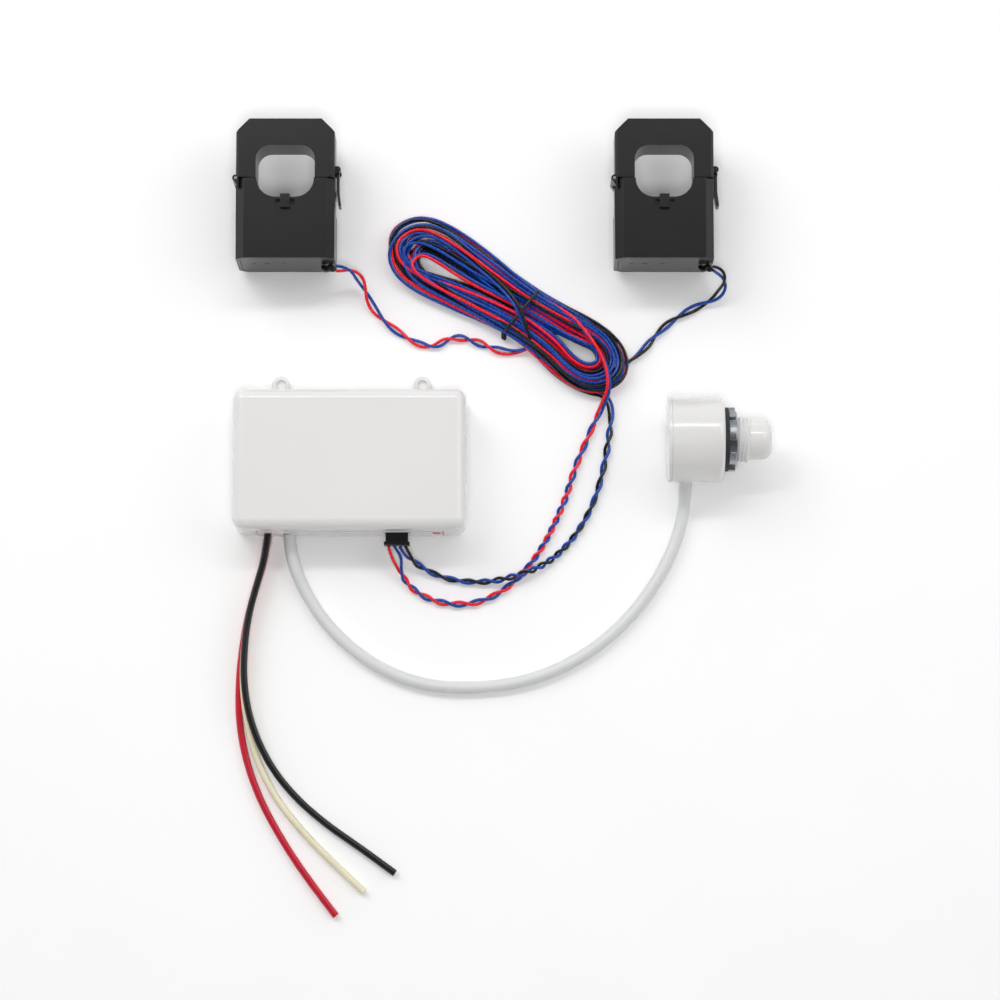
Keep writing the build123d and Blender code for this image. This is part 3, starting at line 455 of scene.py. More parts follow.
plainCords = {
    "antennaCable": {
        "diameter": 0.0055, "length": 0.27, "farEnd": "object", "stiffness": "medium",
        "finish": "cableWhite", "slot": "white_cable", "stands": "antenna_cable",
        "route": [(0.08386, -0.06898, 0.00938), (0.0835, -0.0776, 0.0046), (0.082, -0.0886, 0.00275),
                  (0.0774, -0.1016, 0.00275), (0.0704, -0.115, 0.00275), (0.0608, -0.1282, 0.00275),
                  (0.0478, -0.1412, 0.00275), (0.031, -0.1524, 0.00275), (0.0126, -0.1598, 0.00275),
                  (-0.008, -0.163, 0.00275), (-0.0294, -0.1628, 0.00275), (-0.0486, -0.1576, 0.00275),
                  (-0.0654, -0.1476, 0.00275), (-0.08, -0.1338, 0.00275), (-0.0898, -0.1186, 0.0034),
                  (-0.0954, -0.105, 0.0064), (-0.09646, -0.09365, 0.0072)]},
    "supplyLeadBlack": {
        "diameter": 0.0032, "length": 0.183, "farEnd": "bare", "stiffness": "stiff", "finish": "leadBlack",
        "slot": "lead_black", "stands": "line_lead_black",
        "route": [(-0.10596, -0.09365, 0.011), (-0.1072, -0.1042, 0.0102), (-0.111, -0.117, 0.0089),
                  (-0.1148, -0.131, 0.0082), (-0.1165, -0.147, 0.0082), (-0.1164, -0.163, 0.0082),
                  (-0.113, -0.1804, 0.0065), (-0.105, -0.1978, 0.0032), (-0.0936, -0.2122, 0.0017),
                  (-0.079, -0.2248, 0.0016), (-0.0626, -0.2359, 0.0016), (-0.048, -0.2466, 0.0016)]},
    "supplyLeadWhite": {
        "diameter": 0.0032, "length": 0.181, "farEnd": "bare", "stiffness": "stiff", "finish": "leadWhite",
        "slot": "lead_white", "stands": "neutral_lead_white",
        "route": [(-0.10596, -0.09365, 0.0077), (-0.1073, -0.104, 0.0068), (-0.1112, -0.1168, 0.0055),
                  (-0.115, -0.1308, 0.0049), (-0.1168, -0.1468, 0.0049), (-0.117, -0.163, 0.0049),
                  (-0.1149, -0.18, 0.0033), (-0.1102, -0.197, 0.0017), (-0.1018, -0.2132, 0.0016),
                  (-0.0898, -0.228, 0.0016), (-0.076, -0.2418, 0.0016), (-0.0618, -0.255, 0.0016)]},
    "supplyLeadRed": {
        "diameter": 0.0032, "length": 0.185, "farEnd": "bare", "stiffness": "stiff", "finish": "leadRed",
        "slot": "lead_red", "stands": "line_lead_red",
        "route": [(-0.10596, -0.09365, 0.0044), (-0.1074, -0.1038, 0.0034), (-0.1114, -0.1166, 0.0021),
                  (-0.1154, -0.1306, 0.0016), (-0.1179, -0.1466, 0.0016), (-0.1192, -0.1628, 0.0016),
                  (-0.1187, -0.1798, 0.0016), (-0.1152, -0.1972, 0.0016), (-0.1086, -0.2146, 0.0016),
                  (-0.0986, -0.2324, 0.0016), (-0.087, -0.2496, 0.0016), (-0.0744, -0.2657, 0.0016)]},
}

# Bare ends of the supply leads: nineteen strands in two rings round a middle one
strandEnd = {"strandRadius": 0.19, "rings": 2, "proud": 0.06, "depth": 2.0}


def strandTree():
    # cylinders on rings of points, standing along Z
    tree = bpy.data.node_groups.new("strandEnd", "GeometryNodeTree")
    for name, kind in (("Strand Radius", "NodeSocketFloat"), ("Depth", "NodeSocketFloat"),
                       ("Strand Material", "NodeSocketMaterial")):
        tree.interface.new_socket(name, in_out="INPUT", socket_type=kind)
    tree.interface.new_socket("Geometry", in_out="OUTPUT", socket_type="NodeSocketGeometry")
    sizes = addNode(tree, "NodeGroupInput").outputs
    strand = addNode(tree, "GeometryNodeMeshCylinder", {"Vertices": 10},
                     {"Radius": sizes["Strand Radius"], "Depth": sizes["Depth"]})
    middle = addNode(tree, "GeometryNodeMeshLine", {"Count": 1})
    parts = [middle.outputs["Mesh"]]
    for ring in range(1, strandEnd["rings"] + 1):
        reach = addNode(tree, "ShaderNodeMath", {1: 2.02 * ring}, operation="MULTIPLY")
        tree.links.new(sizes["Strand Radius"], reach.inputs[0])
        circle = addNode(tree, "GeometryNodeMeshCircle", {"Vertices": 6 * ring},
                         {"Radius": reach.outputs[0]})
        parts.append(circle.outputs["Mesh"])
    together = addNode(tree, "GeometryNodeJoinGeometry")
    for part in parts:
        tree.links.new(part, together.inputs["Geometry"])
    placed = addNode(tree, "GeometryNodeInstanceOnPoints", links={
        "Points": together.outputs["Geometry"], "Instance": strand.outputs["Mesh"]})
    real = addNode(tree, "GeometryNodeRealizeInstances", links={"Geometry": placed.outputs["Instances"]})
    painted = addNode(tree, "GeometryNodeSetMaterial", links={
        "Geometry": real.outputs["Geometry"], "Material": sizes["Strand Material"]})
    addNode(tree, "NodeGroupOutput", links={"Geometry": painted.outputs["Geometry"]})
    return tree


def grown(tree, name, values):
    # a plain mesh from a Geometry Nodes tree, its named inputs set by their identifiers
    holder = pieceFrom(bpy.data.meshes.new(name + "Seed"), name + "Seed")
    modifier = holder.modifiers.new("grow", "NODES")
    modifier.node_group = tree
    for item in tree.interface.items_tree:
        if item.in_out == "INPUT" and item.name in values:
            modifier[item.identifier] = values[item.name]
    bpy.context.view_layer.update()
    held = bpy.context.evaluated_depsgraph_get()
    mesh = bpy.data.meshes.new_from_object(holder.evaluated_get(held))
    mesh.name = name
    holder.modifiers.clear()
    bpy.data.objects.remove(holder)
    return mesh


def layPlainCords():
    tree = strandTree()
    for name, look in plainCords.items():
        cord = routeCurve(name, look["route"], look["diameter"])
        cord.data.materials.append(finishes[look["finish"]])
        ends = []
        if look["farEnd"] == "bare":
            last = Vector(look["route"][-1])
            along = (last - Vector(look["route"][-2])).normalized()
            mesh = grown(tree, name + "Strands", {"Strand Radius": strandEnd["strandRadius"] * mm,
                                                  "Depth": strandEnd["depth"] * mm,
                                                  "Strand Material": finishes["bareCopper"]})
            sunk = (strandEnd["proud"] - strandEnd["depth"] / 2) * mm
            facing = along.to_track_quat("Z", "Y").to_matrix().to_4x4()
            mesh.transform(Matrix.Translation(last + along * sunk) @ facing)
            smoothShade(mesh)
            ends = [settle(pieceFrom(mesh, name + "Strands"), "kit")]
        settle(cord, "kit", [look["stands"]])


layPlainCords()
print("plain cords laid")


# The two sensor leads: twisted pairs that run from a sensor into the hank, round it, and on to the plug.
hank = {
    "at": (9.4, 9.9), "turn": -31.0,        # where the tie holds it, and how it is turned
    "outline": [(-70, 0), (-65, 11), (-52, 16.4), (-30, 13.6), (0, 9.9), (20, 11), (37, 11.6), (49, 7.6),
                (54, -1.5),
                (49, -12), (37, -16.2), (20, -12.8), (0, -9.9), (-30, -13.8), (-53, -16.8), (-65, -11)],
    "eye": [(-55, 0), (-52.5, 3.6), (-45, 4.0), (-28, 2.0), (0, 1.0), (18, 0.6), (30, 2.2), (38, 2.8),
            (43.2, -2.2),
            (38.5, -7.4), (30, -6.6), (19, -2.6), (0, -1.2), (-28, -2.2), (-45, -4.2), (-52.5, -3.6)],
    "lowest": 1.5, "layerStep": 1.95, "highest": 7.6,
    "heldFor": 40, "crossOver": 4,         # reach of the tie's hold, and points taken to change slot
    "tightening": 0.75, "alongWander": 1.5, "acrossWander": (0.25, 0.8), "upWander": 0.5,
}
pair = {"wireRadius": 0.74, "apart": 0.86, "outerApart": 1.15, "rise": 0.76, "diameter": 0.003,
        "outerLay": 25.0, "hankLay": 190.0, "innerLay": 13.0, "plugLay": 90.0, "pinsApart": 1.27,
        "sides": 9}


def onHank(u, v, z):
    a = radians(hank["turn"])
    x, y = hank["at"]
    return ((x + u * cos(a) - v * sin(a)) * mm, (y + u * sin(a) + v * cos(a)) * mm, z * mm)


def wander(index, size):
    # a small repeatable shift, so that no two turns are alike
    return size * sin(12.9898 * index + 4.1414) * cos(78.233 * index)


def hankTurns(slots, first, last, seed):
    # clockwise turns from outline point first to last, one for each slot: its share of the way in from
    # the outline to the eye, its layer, and how far its left and its right end lie to one side
    count = len(hank["outline"])
    points = []
    for turn, slot in enumerate(slots):
        start = first if turn == 0 else 0
        stop = last if turn == len(slots) - 1 else count
        following = slots[min(turn + 1, len(slots) - 1)]
        for i in range(start, stop):
            change = max(0.0, (i - count) / hank["crossOver"] + 1)
            share, layer, left, right = (a + (b - a) * change for a, b in zip(slot, following))
            spot = Vector(hank["outline"][i]).lerp(Vector(hank["eye"][i]), share)
            held = min(1.0, abs(spot.x) / hank["heldFor"])     # the tie holds the middle only
            spot.y += held * (left if spot.x < 0 else right)
            slack = 1 - hank["tightening"] * max(0.0, share)     # outer turns wander most
            least, most = hank["acrossWander"]
            spot.x += wander(seed + 11 * turn + 2 * i, hank["alongWander"] * held * slack)
            spot.y += wander(seed + 17 * turn + i, least + most * held * slack)
            z = hank["lowest"] + hank["layerStep"] * layer + wander(seed + 5 * turn + 3 * i,
                                                                    hank["upWander"])
            points.append(onHank(spot.x, spot.y, min(hank["highest"], max(hank["lowest"], z))))
    return points


sensorLeads = {
    "sensorLeadLeft": {
        "stands": ["ct_left_lead_outer", "ct_left_lead_inner", "lead_hank"],
        "colours": ("redPvc", "bluePvc"), "open": 16.0, "bulge": 2.1, "endPhase": 0.0,
        "outer": [(-0.07556, 0.0277, 0.017), (-0.0718, 0.0278, 0.0158), (-0.0678, 0.027, 0.013),
                  (-0.0648, 0.0244, 0.0094), (-0.0628, 0.0204, 0.0056), (-0.061, 0.0158, 0.0026),
                  (-0.058, 0.0106, 0.0016), (-0.0528, 0.0052, 0.0015), (-0.0464, 0.0002, 0.0015),
                  (-0.0388, -0.0044, 0.0015), (-0.0308, -0.0062, 0.0015), (-0.0234, -0.0012, 0.0015),
                  (-0.0146, -0.0022, 0.0015), (-0.0044, -0.0066, 0.0015), (0.004, -0.0088, 0.0017),
                  (0.0112, -0.0074, 0.0024), (0.016, -0.0042, 0.0032)],
        "into": [(14.0, -5.0, 3.0), (20.0, 2.0, 3.2)],
        "slots": [(0.0, 0, 0, 0), (0.66, 2, 2.4, 0), (0.3, 3, -1.5, 0), (0.98, 3, -4.0, 0),
                  (0.44, 1, 1.0, -0.5),
                  (0.84, 1, 1.4, 0), (-0.14, 1, 0, 0), (0.14, 3, 0, 0)], "first": 6, "last": 6, "seed": 3,
        "outOf": [(29.0, 6.6, 8.8), (37.5, 3.2, 9.9), (44.8, -1.2, 10.2), (50.2, -6.6, 10.0),
                  (53.0, -11.6, 8.8)],
        "inner": [(-0.0499, -0.09935, 0.0127), (-0.0491, -0.1034, 0.0104), (-0.047, -0.108, 0.0066),
                  (-0.0448, -0.1126, 0.003), (-0.041, -0.1174, 0.0016), (-0.0354, -0.1212, 0.0015),
                  (-0.0286, -0.1238, 0.0015), (-0.0204, -0.1249, 0.0015), (-0.0118, -0.1243, 0.0015),
                  (-0.003, -0.1209, 0.0015), (0.0054, -0.115, 0.0015), (0.0122, -0.1077, 0.0015),
                  (0.0186, -0.0988, 0.0015), (0.0244, -0.0876, 0.0015), (0.0296, -0.0754, 0.0015),
                  (0.0334, -0.0626, 0.0015), (0.0382, -0.051, 0.0015), (0.0422, -0.0418, 0.0016),
                  (0.0454, -0.0354, 0.0026), (0.047, -0.0316, 0.0054)]},
    "sensorLeadRight": {
        "stands": ["ct_right_lead_outer", "ct_right_lead_inner"], "colours": ("blackPvc", "bluePvc"),
        "open": 8.0, "bulge": 0.0, "endPhase": pi,
        "outer": [(0.09654, 0.0277, 0.017), (0.099, 0.0272, 0.0158), (0.1016, 0.025, 0.0128),
                  (0.1022, 0.0216, 0.0092), (0.1004, 0.0182, 0.0056), (0.0966, 0.0156, 0.0026),
                  (0.0908, 0.0132, 0.0016), (0.084, 0.0098, 0.0015), (0.0772, 0.0055, 0.0015),
                  (0.0708, -0.0004, 0.0015), (0.0654, -0.0072, 0.0015), (0.0596, -0.0122, 0.0016),
                  (0.0534, -0.016, 0.0024)],
        "into": [],
        "slots": [(0.2, 0, 0, 0), (0.75, 0, -2.6, 0), (0.08, 3, -1.0, 0), (1.0, 2, 3.4, 0),
                  (0.52, 3, -4.0, 0),
                  (1.0, 1, -1.4, 0), (-0.1, 2, 0, 0), (0.6, 3, 1.0, 0)], "first": 9, "last": 3, "seed": 29,
        "outOf": [(-28.0, 7.5, 7.6), (-13.0, 4.6, 9.0), (-4.0, 1.2, 10.6), (3.0, -4.0, 10.4),
                  (9.0, -9.2, 7.0),
                  (16.0, -14.2, 3.6), (26.0, -16.6, 1.9), (36.0, -17.2, 1.9), (45.0, -16.0, 2.2),
                  (52.0, -13.0, 1.8)],
        "inner": [(-0.0448, -0.09935, 0.0127), (-0.0434, -0.1022, 0.0102), (-0.0404, -0.1054, 0.0066),
                  (-0.0356, -0.1086, 0.0032), (-0.0286, -0.1118, 0.0016), (-0.0208, -0.1139, 0.0015),
                  (-0.0124, -0.1146, 0.0016), (-0.0046, -0.1144, 0.0024), (0.0026, -0.1132, 0.0047),
                  (0.0104, -0.1109, 0.0048), (0.0176, -0.1078, 0.0026), (0.0252, -0.1026, 0.0015),
                  (0.0324, -0.0949, 0.0015), (0.0392, -0.0846, 0.0015), (0.0442, -0.0724, 0.0015),
                  (0.0474, -0.059, 0.0015), (0.0496, -0.0456, 0.0015), (0.0506, -0.0344, 0.0016)]},
}


def easedBetween(low, high, x, start, width):
    t = min(1.0, max(0.0, (x - start) / width))
    return low + (high - low) * t * t * (3 - 2 * t)


def twistedPair(name, line, look, outerEnd, innerStart):
    # two wires wound about a line; they twist loosely outside the hank, hardly at all inside it, and lie
    # open and untwisted for the last stretch to the plug
    count = pair["sides"]
    verts, faces, marks = [], [], []
    total = lengthOf(line)
    travelled, phase = 0.0, 0.0
    stations = []
    for i, point in enumerate(line):
        before, after = line[max(i - 1, 0)], line[min(i + 1, len(line) - 1)]
        along = (after - before).normalized()
        left = total - travelled
        if i:
            step = (point - line[i - 1]).length
            travelled += step
            lay = easedBetween(pair["outerLay"], pair["hankLay"], travelled, outerEnd - 0.02, 0.03)
            lay = easedBetween(lay, pair["innerLay"], travelled, innerStart - 0.01, 0.02)
            lay *= 1 + 0.28 * sin(travelled * 61.0)
            lay = easedBetween(lay, pair["plugLay"], -left, -look["open"] * mm, 0.004)
            phase += 2 * pi * step / (lay * mm)
        apart = easedBetween(pair["outerApart"], pair["apart"], travelled, outerEnd - 0.02, 0.03)
        apart *= 1 + 0.12 * sin(travelled * 83.0)
        share = max(0.0, 1 - left / (look["open"] * mm))
        apart += (pair["pinsApart"] - apart) * share
        stations.append((point, along, apart, phase, look["bulge"] * sin(pi * share) ** 2))
    level = look["endPhase"] - phase
    for i, (point, along, apart, phase, bulge) in enumerate(stations):
        across = Vector((0, 0, 1)).cross(along).normalized()
        up = along.cross(across).normalized()
        a = phase + level
        shift = across * cos(a) * apart * mm + up * sin(a) * pair["rise"] * mm
        stations[i] = (point, across, up, shift, across * cos(a) * bulge * mm)
    for wire in (0, 1):
        sign = 1 if wire == 0 else -1
        base = len(verts)
        for point, across, up, shift, loose in stations:
            middle = point + shift * sign - loose * wire
            for k in range(count):
                a = 2 * pi * k / count
                verts.append(middle + (across * cos(a) + up * sin(a)) * pair["wireRadius"] * mm)
        rings = len(stations)
        for r in range(rings - 1):
            for k in range(count):
                near, far = base + r * count, base + (r + 1) * count
                faces.append((near + k, near + (k + 1) % count, far + (k + 1) % count, far + k))
                marks.append(wire)
        faces.append([base + k for k in reversed(range(count))])
        faces.append([base + (rings - 1) * count + k for k in range(count)])
        marks += [wire, wire]
    mesh = bpy.data.meshes.new(name)
    mesh.from_pydata(verts, [], faces)
    for colour in look["colours"]:
        mesh.materials.append(finishes[colour])
    mesh.polygons.foreach_set("material_index", marks)
    mesh.update()
    tidy = bmesh.new()
    tidy.from_mesh(mesh)
    bmesh.ops.recalc_face_normals(tidy, faces=tidy.faces)
    tidy.to_mesh(mesh)
    tidy.free()
    smoothShade(mesh, 50)
    return pieceFrom(mesh, name)


def laySensorLeads():
    laid = {}
    for name, look in sensorLeads.items():
        turns = [onHank(*p) for p in look["into"]]
        turns += hankTurns(look["slots"], look["first"], look["last"], look["seed"])
        turns += [onHank(*p) for p in look["outOf"]]
        inner = list(reversed(look["inner"]))
        line = followed(look["outer"] + turns + inner, resolution=9)
        total = lengthOf(line)
        outerEnd = lengthOf(followed(look["outer"]))
        innerStart = total - lengthOf(followed(inner))
        print(name, "length", round(total, 4))
        lead = twistedPair(name, line, look, outerEnd, innerStart)
        settle(lead, "kit", look["stands"])
        laid[lead] = (look["outer"][0], round(total, 3), line)
    return laid


laidLeads = laySensorLeads()
print("sensor leads laid")


def tubeAlong(name, line, radius, closed=False, sides=12):
    # a round wire whose middle follows the points
    count = len(line)
    verts, faces = [], []
    lastUp = Vector((0.3, 0.2, 1)).normalized()
    for i, point in enumerate(line):
        before = line[(i - 1) % count] if closed or i else point
        after = line[(i + 1) % count] if closed or i < count - 1 else point
        along = (after - before).normalized()
        lastUp = (lastUp - along * lastUp.dot(along)).normalized()
        across = along.cross(lastUp)
        for k in range(sides):
            a = 2 * pi * k / sides
            verts.append(point + (across * cos(a) + lastUp * sin(a)) * radius)
    for i in range(count if closed else count - 1):
        near, far = i * sides, (i + 1) % count * sides
        for k in range(sides):
            faces.append((near + k, near + (k + 1) % sides, far + (k + 1) % sides, far + k))
    if not closed:
        faces.append(list(range(sides)))
        faces.append([(count - 1) * sides + k for k in range(sides)])
    mesh = bpy.data.meshes.new(name)
    mesh.from_pydata(verts, [], faces)
    tidy = bmesh.new()
    tidy.from_mesh(mesh)
    bmesh.ops.recalc_face_normals(tidy, faces=tidy.faces)
    tidy.to_mesh(mesh)
    tidy.free()
    smoothShade(mesh, 50)
    return mesh


def joined(meshes, name):
    # several meshes as one
    whole = bmesh.new()
    for mesh in meshes:
        whole.from_mesh(mesh)
    result = bpy.data.meshes.new(name)
    whole.to_mesh(result)
    whole.free()
    smoothShade(result, 50)
    return result


# The lead is knotted outside its hole: half the knot's length and height, half its depth, and the wire's
# radius
knot = {"reach": 2.5, "depth": 0.85, "wire": 0.82, "points": 90}


def tieKnots():
    for side in ("left", "right"):
        low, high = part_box(f"ct_{side}_lead_knot")
        middle = (low + high) / 2
        line = []
        for i in range(knot["points"]):
            t = 2 * pi * i / knot["points"]
            x = (sin(t) + 2 * sin(2 * t)) / 2.6
            z = (cos(t) - 2 * cos(2 * t)) / 3.0
            line.append(middle + Vector((x * knot["reach"], -sin(3 * t) * knot["depth"], z * 1.55)) * mm)
        mesh = tubeAlong(f"leadKnot{side.title()}", line, knot["wire"] * mm, closed=True)
        wires = finishes["tieBlack"] if side == "left" else finishes["blackPvc"]
        settle(pieceFrom(mesh, mesh.name, wires), "kit", [f"ct_{side}_lead_knot"])


# The tie: one coated wire round the bundle, its two ends twisted together at the low side
tie = {"halfSpan": 12.0, "top": 9.6, "bottom": 0.75, "slant": 1.8, "wire": 0.7, "squareness": 0.6,
       "tail": 5.6, "tailTurns": 3.2, "tailSwing": 0.75, "tailHeight": 2.6}


def squared(value):
    # a sine or cosine pushed outward, so that the ring is nearer to a box
    return abs(value) ** tie["squareness"] * (1 if value > 0 else -1)


def wrapTie():
    ring = []
    steps = 72
    for i in range(steps):
        a = 2 * pi * i / steps
        across = tie["halfSpan"] * squared(cos(a))
        middle = (tie["top"] + tie["bottom"]) / 2
        height = middle + (tie["top"] - middle) * squared(sin(a))
        ring.append(Vector(onHank(tie["slant"] * across / tie["halfSpan"], across, height)))
    parts = [tubeAlong("tieRing", ring, tie["wire"] * mm, closed=True)]
    for sign in (0, pi):
        tail = []
        for i in range(33):
            t = i / 32
            a = sign + 2 * pi * tie["tailTurns"] * t
            swing = tie["tailSwing"] * (1 - 0.2 * t)
            along = -tie["slant"] - 0.4 + swing * cos(a) + 1.2 * t
            across = -tie["halfSpan"] - 0.2 - tie["tail"] * 0.42 * t
            tail.append(Vector(onHank(along, across, tie["tailHeight"] - 1.0 * t + swing * sin(a))))
        parts.append(tubeAlong("tieTail", tail, tie["wire"] * 0.95 * mm))
    mesh = joined(parts, "hankTie")
    return settle(pieceFrom(mesh, "hankTie", finishes["tieBlack"]), "kit", ["hank_tie"])


tieKnots()
hankTie = wrapTie()
print("knots and tie made")


# The antenna is a turned shell with a thread grown along its neck. Sizes in mm from its rear face.
antenna = {
    "lid": 1.6, "front": 25.4, "radius": 19.35, "round": 3.0, "wall": 2.2, "neckEnd": 36.8,
    "rootRadius": 9.5,
    "noseRadius": 9.15, "tip": 47.0, "noseRound": 4.8, "noseWall": 1.6, "pitch": 1.814, "ridge": 0.92,
    "threadFrom": 25.9, "threadTurns": 5.9, "sides": 128,
}


def corner(x, r, radius, fromAngle, toAngle, steps=8):
    # points of a quarter round about (x, r) in the plane of the profile
    angles = [radians(fromAngle + (toAngle - fromAngle) * i / steps) for i in range(steps + 1)]
    return [(x + radius * cos(a), r + radius * sin(a)) for a in angles]


def turned(name, profile, at, sides):
    # a profile of (distance along X, radius) turned about the X axis through at; both its ends lie on the
    # axis
    verts = [at + Vector((profile[0][0] * mm, 0, 0))]
    for x, r in profile[1:-1]:
        for k in range(sides):
            a = 2 * pi * k / sides
            verts.append(at + Vector((x, r * cos(a), r * sin(a))) * mm)
    verts.append(at + Vector((profile[-1][0] * mm, 0, 0)))
    rings = len(profile) - 2
    faces = [(0, 1 + (k + 1) % sides, 1 + k) for k in range(sides)]
    for i in range(rings - 1):
        near, far = 1 + i * sides, 1 + (i + 1) * sides
        faces += [(near + k, near + (k + 1) % sides, far + (k + 1) % sides, far + k) for k in range(sides)]
    last = 1 + (rings - 1) * sides
    faces += [(len(verts) - 1, last + k, last + (k + 1) % sides) for k in range(sides)]
    mesh = bpy.data.meshes.new(name)
    mesh.from_pydata(verts, [], faces)
    tidy = bmesh.new()
    tidy.from_mesh(mesh)
    bmesh.ops.recalc_face_normals(tidy, faces=tidy.faces)
    tidy.to_mesh(mesh)
    tidy.free()
    smoothShade(mesh, 30)
    return mesh


def threadTree():
    # a helical ridge with a diamond section, along +X from the origin
    tree = bpy.data.node_groups.new("threadRidge", "GeometryNodeTree")
    for name, kind in (("Pitch", "NodeSocketFloat"), ("Turns", "NodeSocketFloat"),
                       ("Root Radius", "NodeSocketFloat"),
                       ("Ridge", "NodeSocketFloat"), ("Ridge Material", "NodeSocketMaterial")):
        tree.interface.new_socket(name, in_out="INPUT", socket_type=kind)
    tree.interface.new_socket("Geometry", in_out="OUTPUT", socket_type="NodeSocketGeometry")
    sizes = addNode(tree, "NodeGroupInput").outputs
    rise = addNode(tree, "ShaderNodeMath", operation="MULTIPLY")
    tree.links.new(sizes["Pitch"], rise.inputs[0])
    tree.links.new(sizes["Turns"], rise.inputs[1])
    helix = addNode(tree, "GeometryNodeCurveSpiral", {"Resolution": 96}, {
        "Rotations": sizes["Turns"], "Start Radius": sizes["Root Radius"],
        "End Radius": sizes["Root Radius"], "Height": rise.outputs[0]})
    upright = addNode(tree, "GeometryNodeSetCurveNormal", links={"Curve": helix.outputs["Curve"]},
                      mode="Z_UP")
    section = addNode(tree, "GeometryNodeCurvePrimitiveCircle", {"Resolution": 4},
                      {"Radius": sizes["Ridge"]})
    ridge = addNode(tree, "GeometryNodeCurveToMesh", {"Fill Caps": True}, {
        "Curve": upright.outputs["Curve"], "Profile Curve": section.outputs["Curve"]})
    laid = addNode(tree, "GeometryNodeTransform", {"Rotation": (0, radians(90), 0)},
                   {"Geometry": ridge.outputs["Mesh"]})
    real = addNode(tree, "GeometryNodeRealizeInstances", links={"Geometry": laid.outputs["Geometry"]})
    painted = addNode(tree, "GeometryNodeSetMaterial", links={
        "Geometry": real.outputs["Geometry"], "Material": sizes["Ridge Material"]})
    addNode(tree, "NodeGroupOutput", links={"Geometry": painted.outputs["Geometry"]})
    return tree


def turnAntenna():
    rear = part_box("antenna_rear_lid")[0]
    lidLow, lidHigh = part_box("antenna_rear_lid")
    at = Vector((rear.x, (lidLow.y + lidHigh.y) / 2, (lidLow.z + lidHigh.z) / 2))
    size = antenna
    inner = size["radius"] - size["wall"]
    hollow = size["noseRadius"] - size["noseWall"]
    profile = [(size["tip"] - size["noseWall"], 0.0), (size["tip"] - size["noseWall"], 3.6),
               (size["tip"] - size["noseRound"], hollow), (size["front"] - size["wall"], hollow),
               (size["front"] - size["wall"], inner), (size["lid"], inner),
               (size["lid"], size["radius"] - 0.25), (size["lid"] + 0.25, size["radius"])]
    profile += corner(size["front"] - size["round"], size["radius"] - size["round"], size["round"], 90, 0)
    profile += [(size["front"], size["rootRadius"]), (size["neckEnd"] - 0.5, size["rootRadius"]),
                (size["neckEnd"], size["noseRadius"])]
    profile += corner(size["tip"] - size["noseRound"], size["noseRadius"] - size["noseRound"],
                      size["noseRound"], 90, 0, 12)
    profile += [(size["tip"], 0.0)]
    shell = turned("antennaShell", profile, at, size["sides"])
    settle(pieceFrom(shell, "antennaShell", finishes["antennaAbs"]), "kit",
           ["antenna_body"])
    thread = grown(threadTree(), "antennaThread", {
        "Pitch": size["pitch"] * mm, "Turns": size["threadTurns"], "Root Radius": size["rootRadius"] * mm,
        "Ridge": size["ridge"] * mm, "Ridge Material": finishes["antennaAbs"]})
    thread.transform(Matrix.Translation(at + Vector((size["threadFrom"] * mm, 0, 0))))
    smoothShade(thread, 40)
    settle(pieceFrom(thread, "antennaThread"), "kit")


turnAntenna()
print("antenna turned")


# Plain marks moulded on each sensor's end: a dot, a dash and an arrow head, across the end from its left
mark = {"dot": (-14.6, 0.75), "dash": (-8.6, 2.6, 0.7), "arrow": (-0.6, 1.3), "middle": 19.5, "proud": 0.12,
        "sunk": 0.3}


def markOutlines():
    dotAt, dotRadius = mark["dot"]
    dashAt, dashLong, dashHigh = mark["dash"]
    arrowAt, arrowSize = mark["arrow"]
    dot = [(dotAt + dotRadius * cos(pi * k / 10), dotRadius * sin(pi * k / 10)) for k in range(20)]
    dash = [(dashAt + x * dashLong / 2, z * dashHigh / 2) for x, z in ((-1, -1), (1, -1), (1, 1), (-1, 1))]
    arrow = [(arrowAt + arrowSize * sin(2 * pi * k / 3), arrowSize * cos(2 * pi * k / 3)) for k in (0, 2,
                                                                                                    1)]
    return [dot, dash, arrow]


def markSensors():
    for side in ("left", "right"):
        low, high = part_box(f"ct_{side}_bottom_plate")
        middle = (low.x + high.x) / 2
        verts, faces = [], []
        for outline in markOutlines():
            base, count = len(verts), len(outline)
            for y in (low.y - mark["proud"] * mm, low.y + mark["sunk"] * mm):
                verts += [(middle + x * mm, y, (mark["middle"] + z) * mm) for x, z in outline]
            faces.append([base + k for k in range(count)])
            faces.append([base + count + k for k in reversed(range(count))])
            faces += [(base + k, base + count + k, base + count + (k + 1) % count, base + (k + 1) % count)
                      for k in range(count)]
        mesh = bpy.data.meshes.new(f"sensorMarks{side.title()}")
        mesh.from_pydata(verts, [], faces)
        solid = bmesh.new()
        solid.from_mesh(mesh)
        bmesh.ops.recalc_face_normals(solid, faces=solid.faces)
        solid.to_mesh(mesh)
        solid.free()
        settle(pieceFrom(mesh, mesh.name, finishes["blackNylon"]), bodyOf(f"ct_{side}_bottom_plate"))


markSensors()


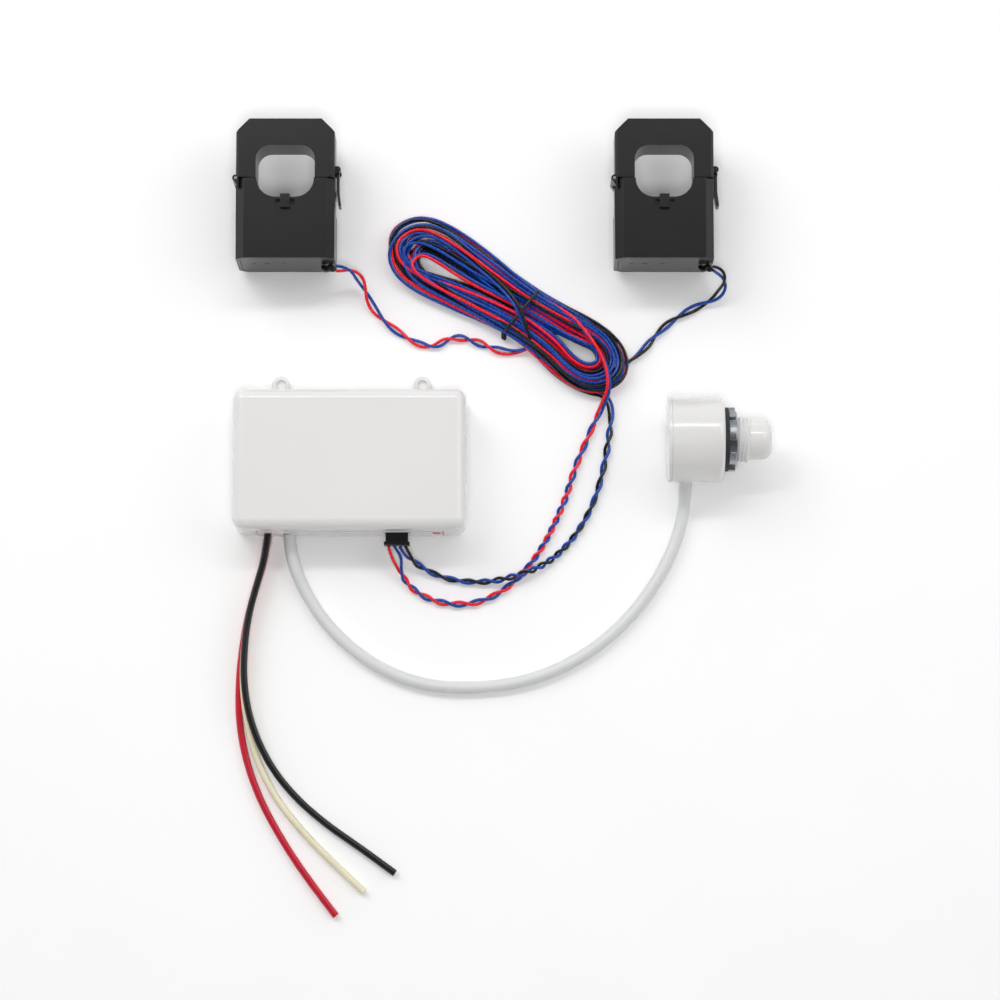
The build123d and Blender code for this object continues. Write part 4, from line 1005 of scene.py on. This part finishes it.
slotOf = {part["node"]: part["material_slot"] for part in frame["record"]["subparts"]}
finishOf = {
    "white_abs": "whiteAbs", "antenna_white": "antennaAbs", "black_moulding": "blackPcAbs",
    "black_nylon": "blackNylon", "red_button": "redAbs", "solder_mask": "solderMask",
    "ferrite": "laminatedSteel",
    "copper_winding": "enamelledCopper", "bobbin_nylon": "naturalNylon", "spring_steel": "springSteel",
    "zinc_steel": "zincPlate", "epdm": "mouldedEpdm", "screw_steel": "screwSteel",
    "capacitor_sleeve": "sleevePvc",
    "varistor_blue": "blueEpoxy", "fuse_body": "fuseCeramic", "black_epoxy": "blackEpoxy",
    "terminal_green": "greenPbt", "shield_tin": "tinPlate", "copper_foil": "copperFoil",
    "tie_black": "tieBlack",
    "pair_insulation": "bluePvc", "white_cable": "cableWhite", "lead_black": "leadBlack",
    "lead_white": "leadWhite", "lead_red": "leadRed",
}
# Every moulded part has its edges eased by this many mm, as the mould leaves them.
easedEdges = {
    "front_cover": 0.3, "back_plate": 0.25, "reset_button": 0.35, "ct_plug": 0.2, "ct_header": 0.1,
    "lead_bushing": 0.2, "antenna_cable_bushing": 0.2, "antenna_locknut": 0.22, "antenna_gasket": 0.3,
    "antenna_rear_lid": 0.35, "antenna_cable_gland": 0.25,
}
for side in ("left", "right"):
    easedEdges.update({f"ct_{side}_housing": 0.14, f"ct_{side}_cap": 0.14, f"ct_{side}_bottom_plate": 0.2,
                       f"ct_{side}_latch": 0.14, f"ct_{side}_lead_grommet": 0.15})


def eased(node, width):
    # a merged copy of the designed solid, with a small round on its edges, stands for it
    shape = bmesh.new()
    shape.from_mesh(nodes[node].data)
    bmesh.ops.remove_doubles(shape, verts=shape.verts, dist=0.002 * mm)
    bmesh.ops.dissolve_limit(shape, angle_limit=radians(0.6), verts=shape.verts, edges=shape.edges)
    mesh = bpy.data.meshes.new(node + "Eased")
    shape.to_mesh(mesh)
    shape.free()
    mesh.polygons.foreach_set("use_smooth", [True] * len(mesh.polygons))
    holder = pieceFrom(mesh, node + "Seed")
    bevel = holder.modifiers.new("ease", "BEVEL")
    bevel.width = width * mm
    bevel.segments = 2
    bevel.limit_method = "ANGLE"
    bevel.angle_limit = radians(35)
    bevel.use_clamp_overlap = False
    bevel.miter_outer = "MITER_ARC"
    level = holder.modifiers.new("level", "WEIGHTED_NORMAL")
    level.weight = 90
    level.keep_sharp = True
    bpy.context.view_layer.update()
    final = bpy.data.meshes.new_from_object(holder.evaluated_get(bpy.context.evaluated_depsgraph_get()))
    holder.modifiers.clear()
    bpy.data.objects.remove(holder)
    final.name = node + "Eased"
    slot = slotOf[node]
    return settle(pieceFrom(final, node + "Eased", finishes[finishOf[slot]]), bodyOf(node), [node])


easedPieces = {node: eased(node, width) for node, width in easedEdges.items()}
for name, piece in nodes.items():
    piece.data.materials.clear()
    piece.data.materials.append(finishes[finishOf[slotOf[name]]])
print("moulded parts eased:", len(easedEdges))
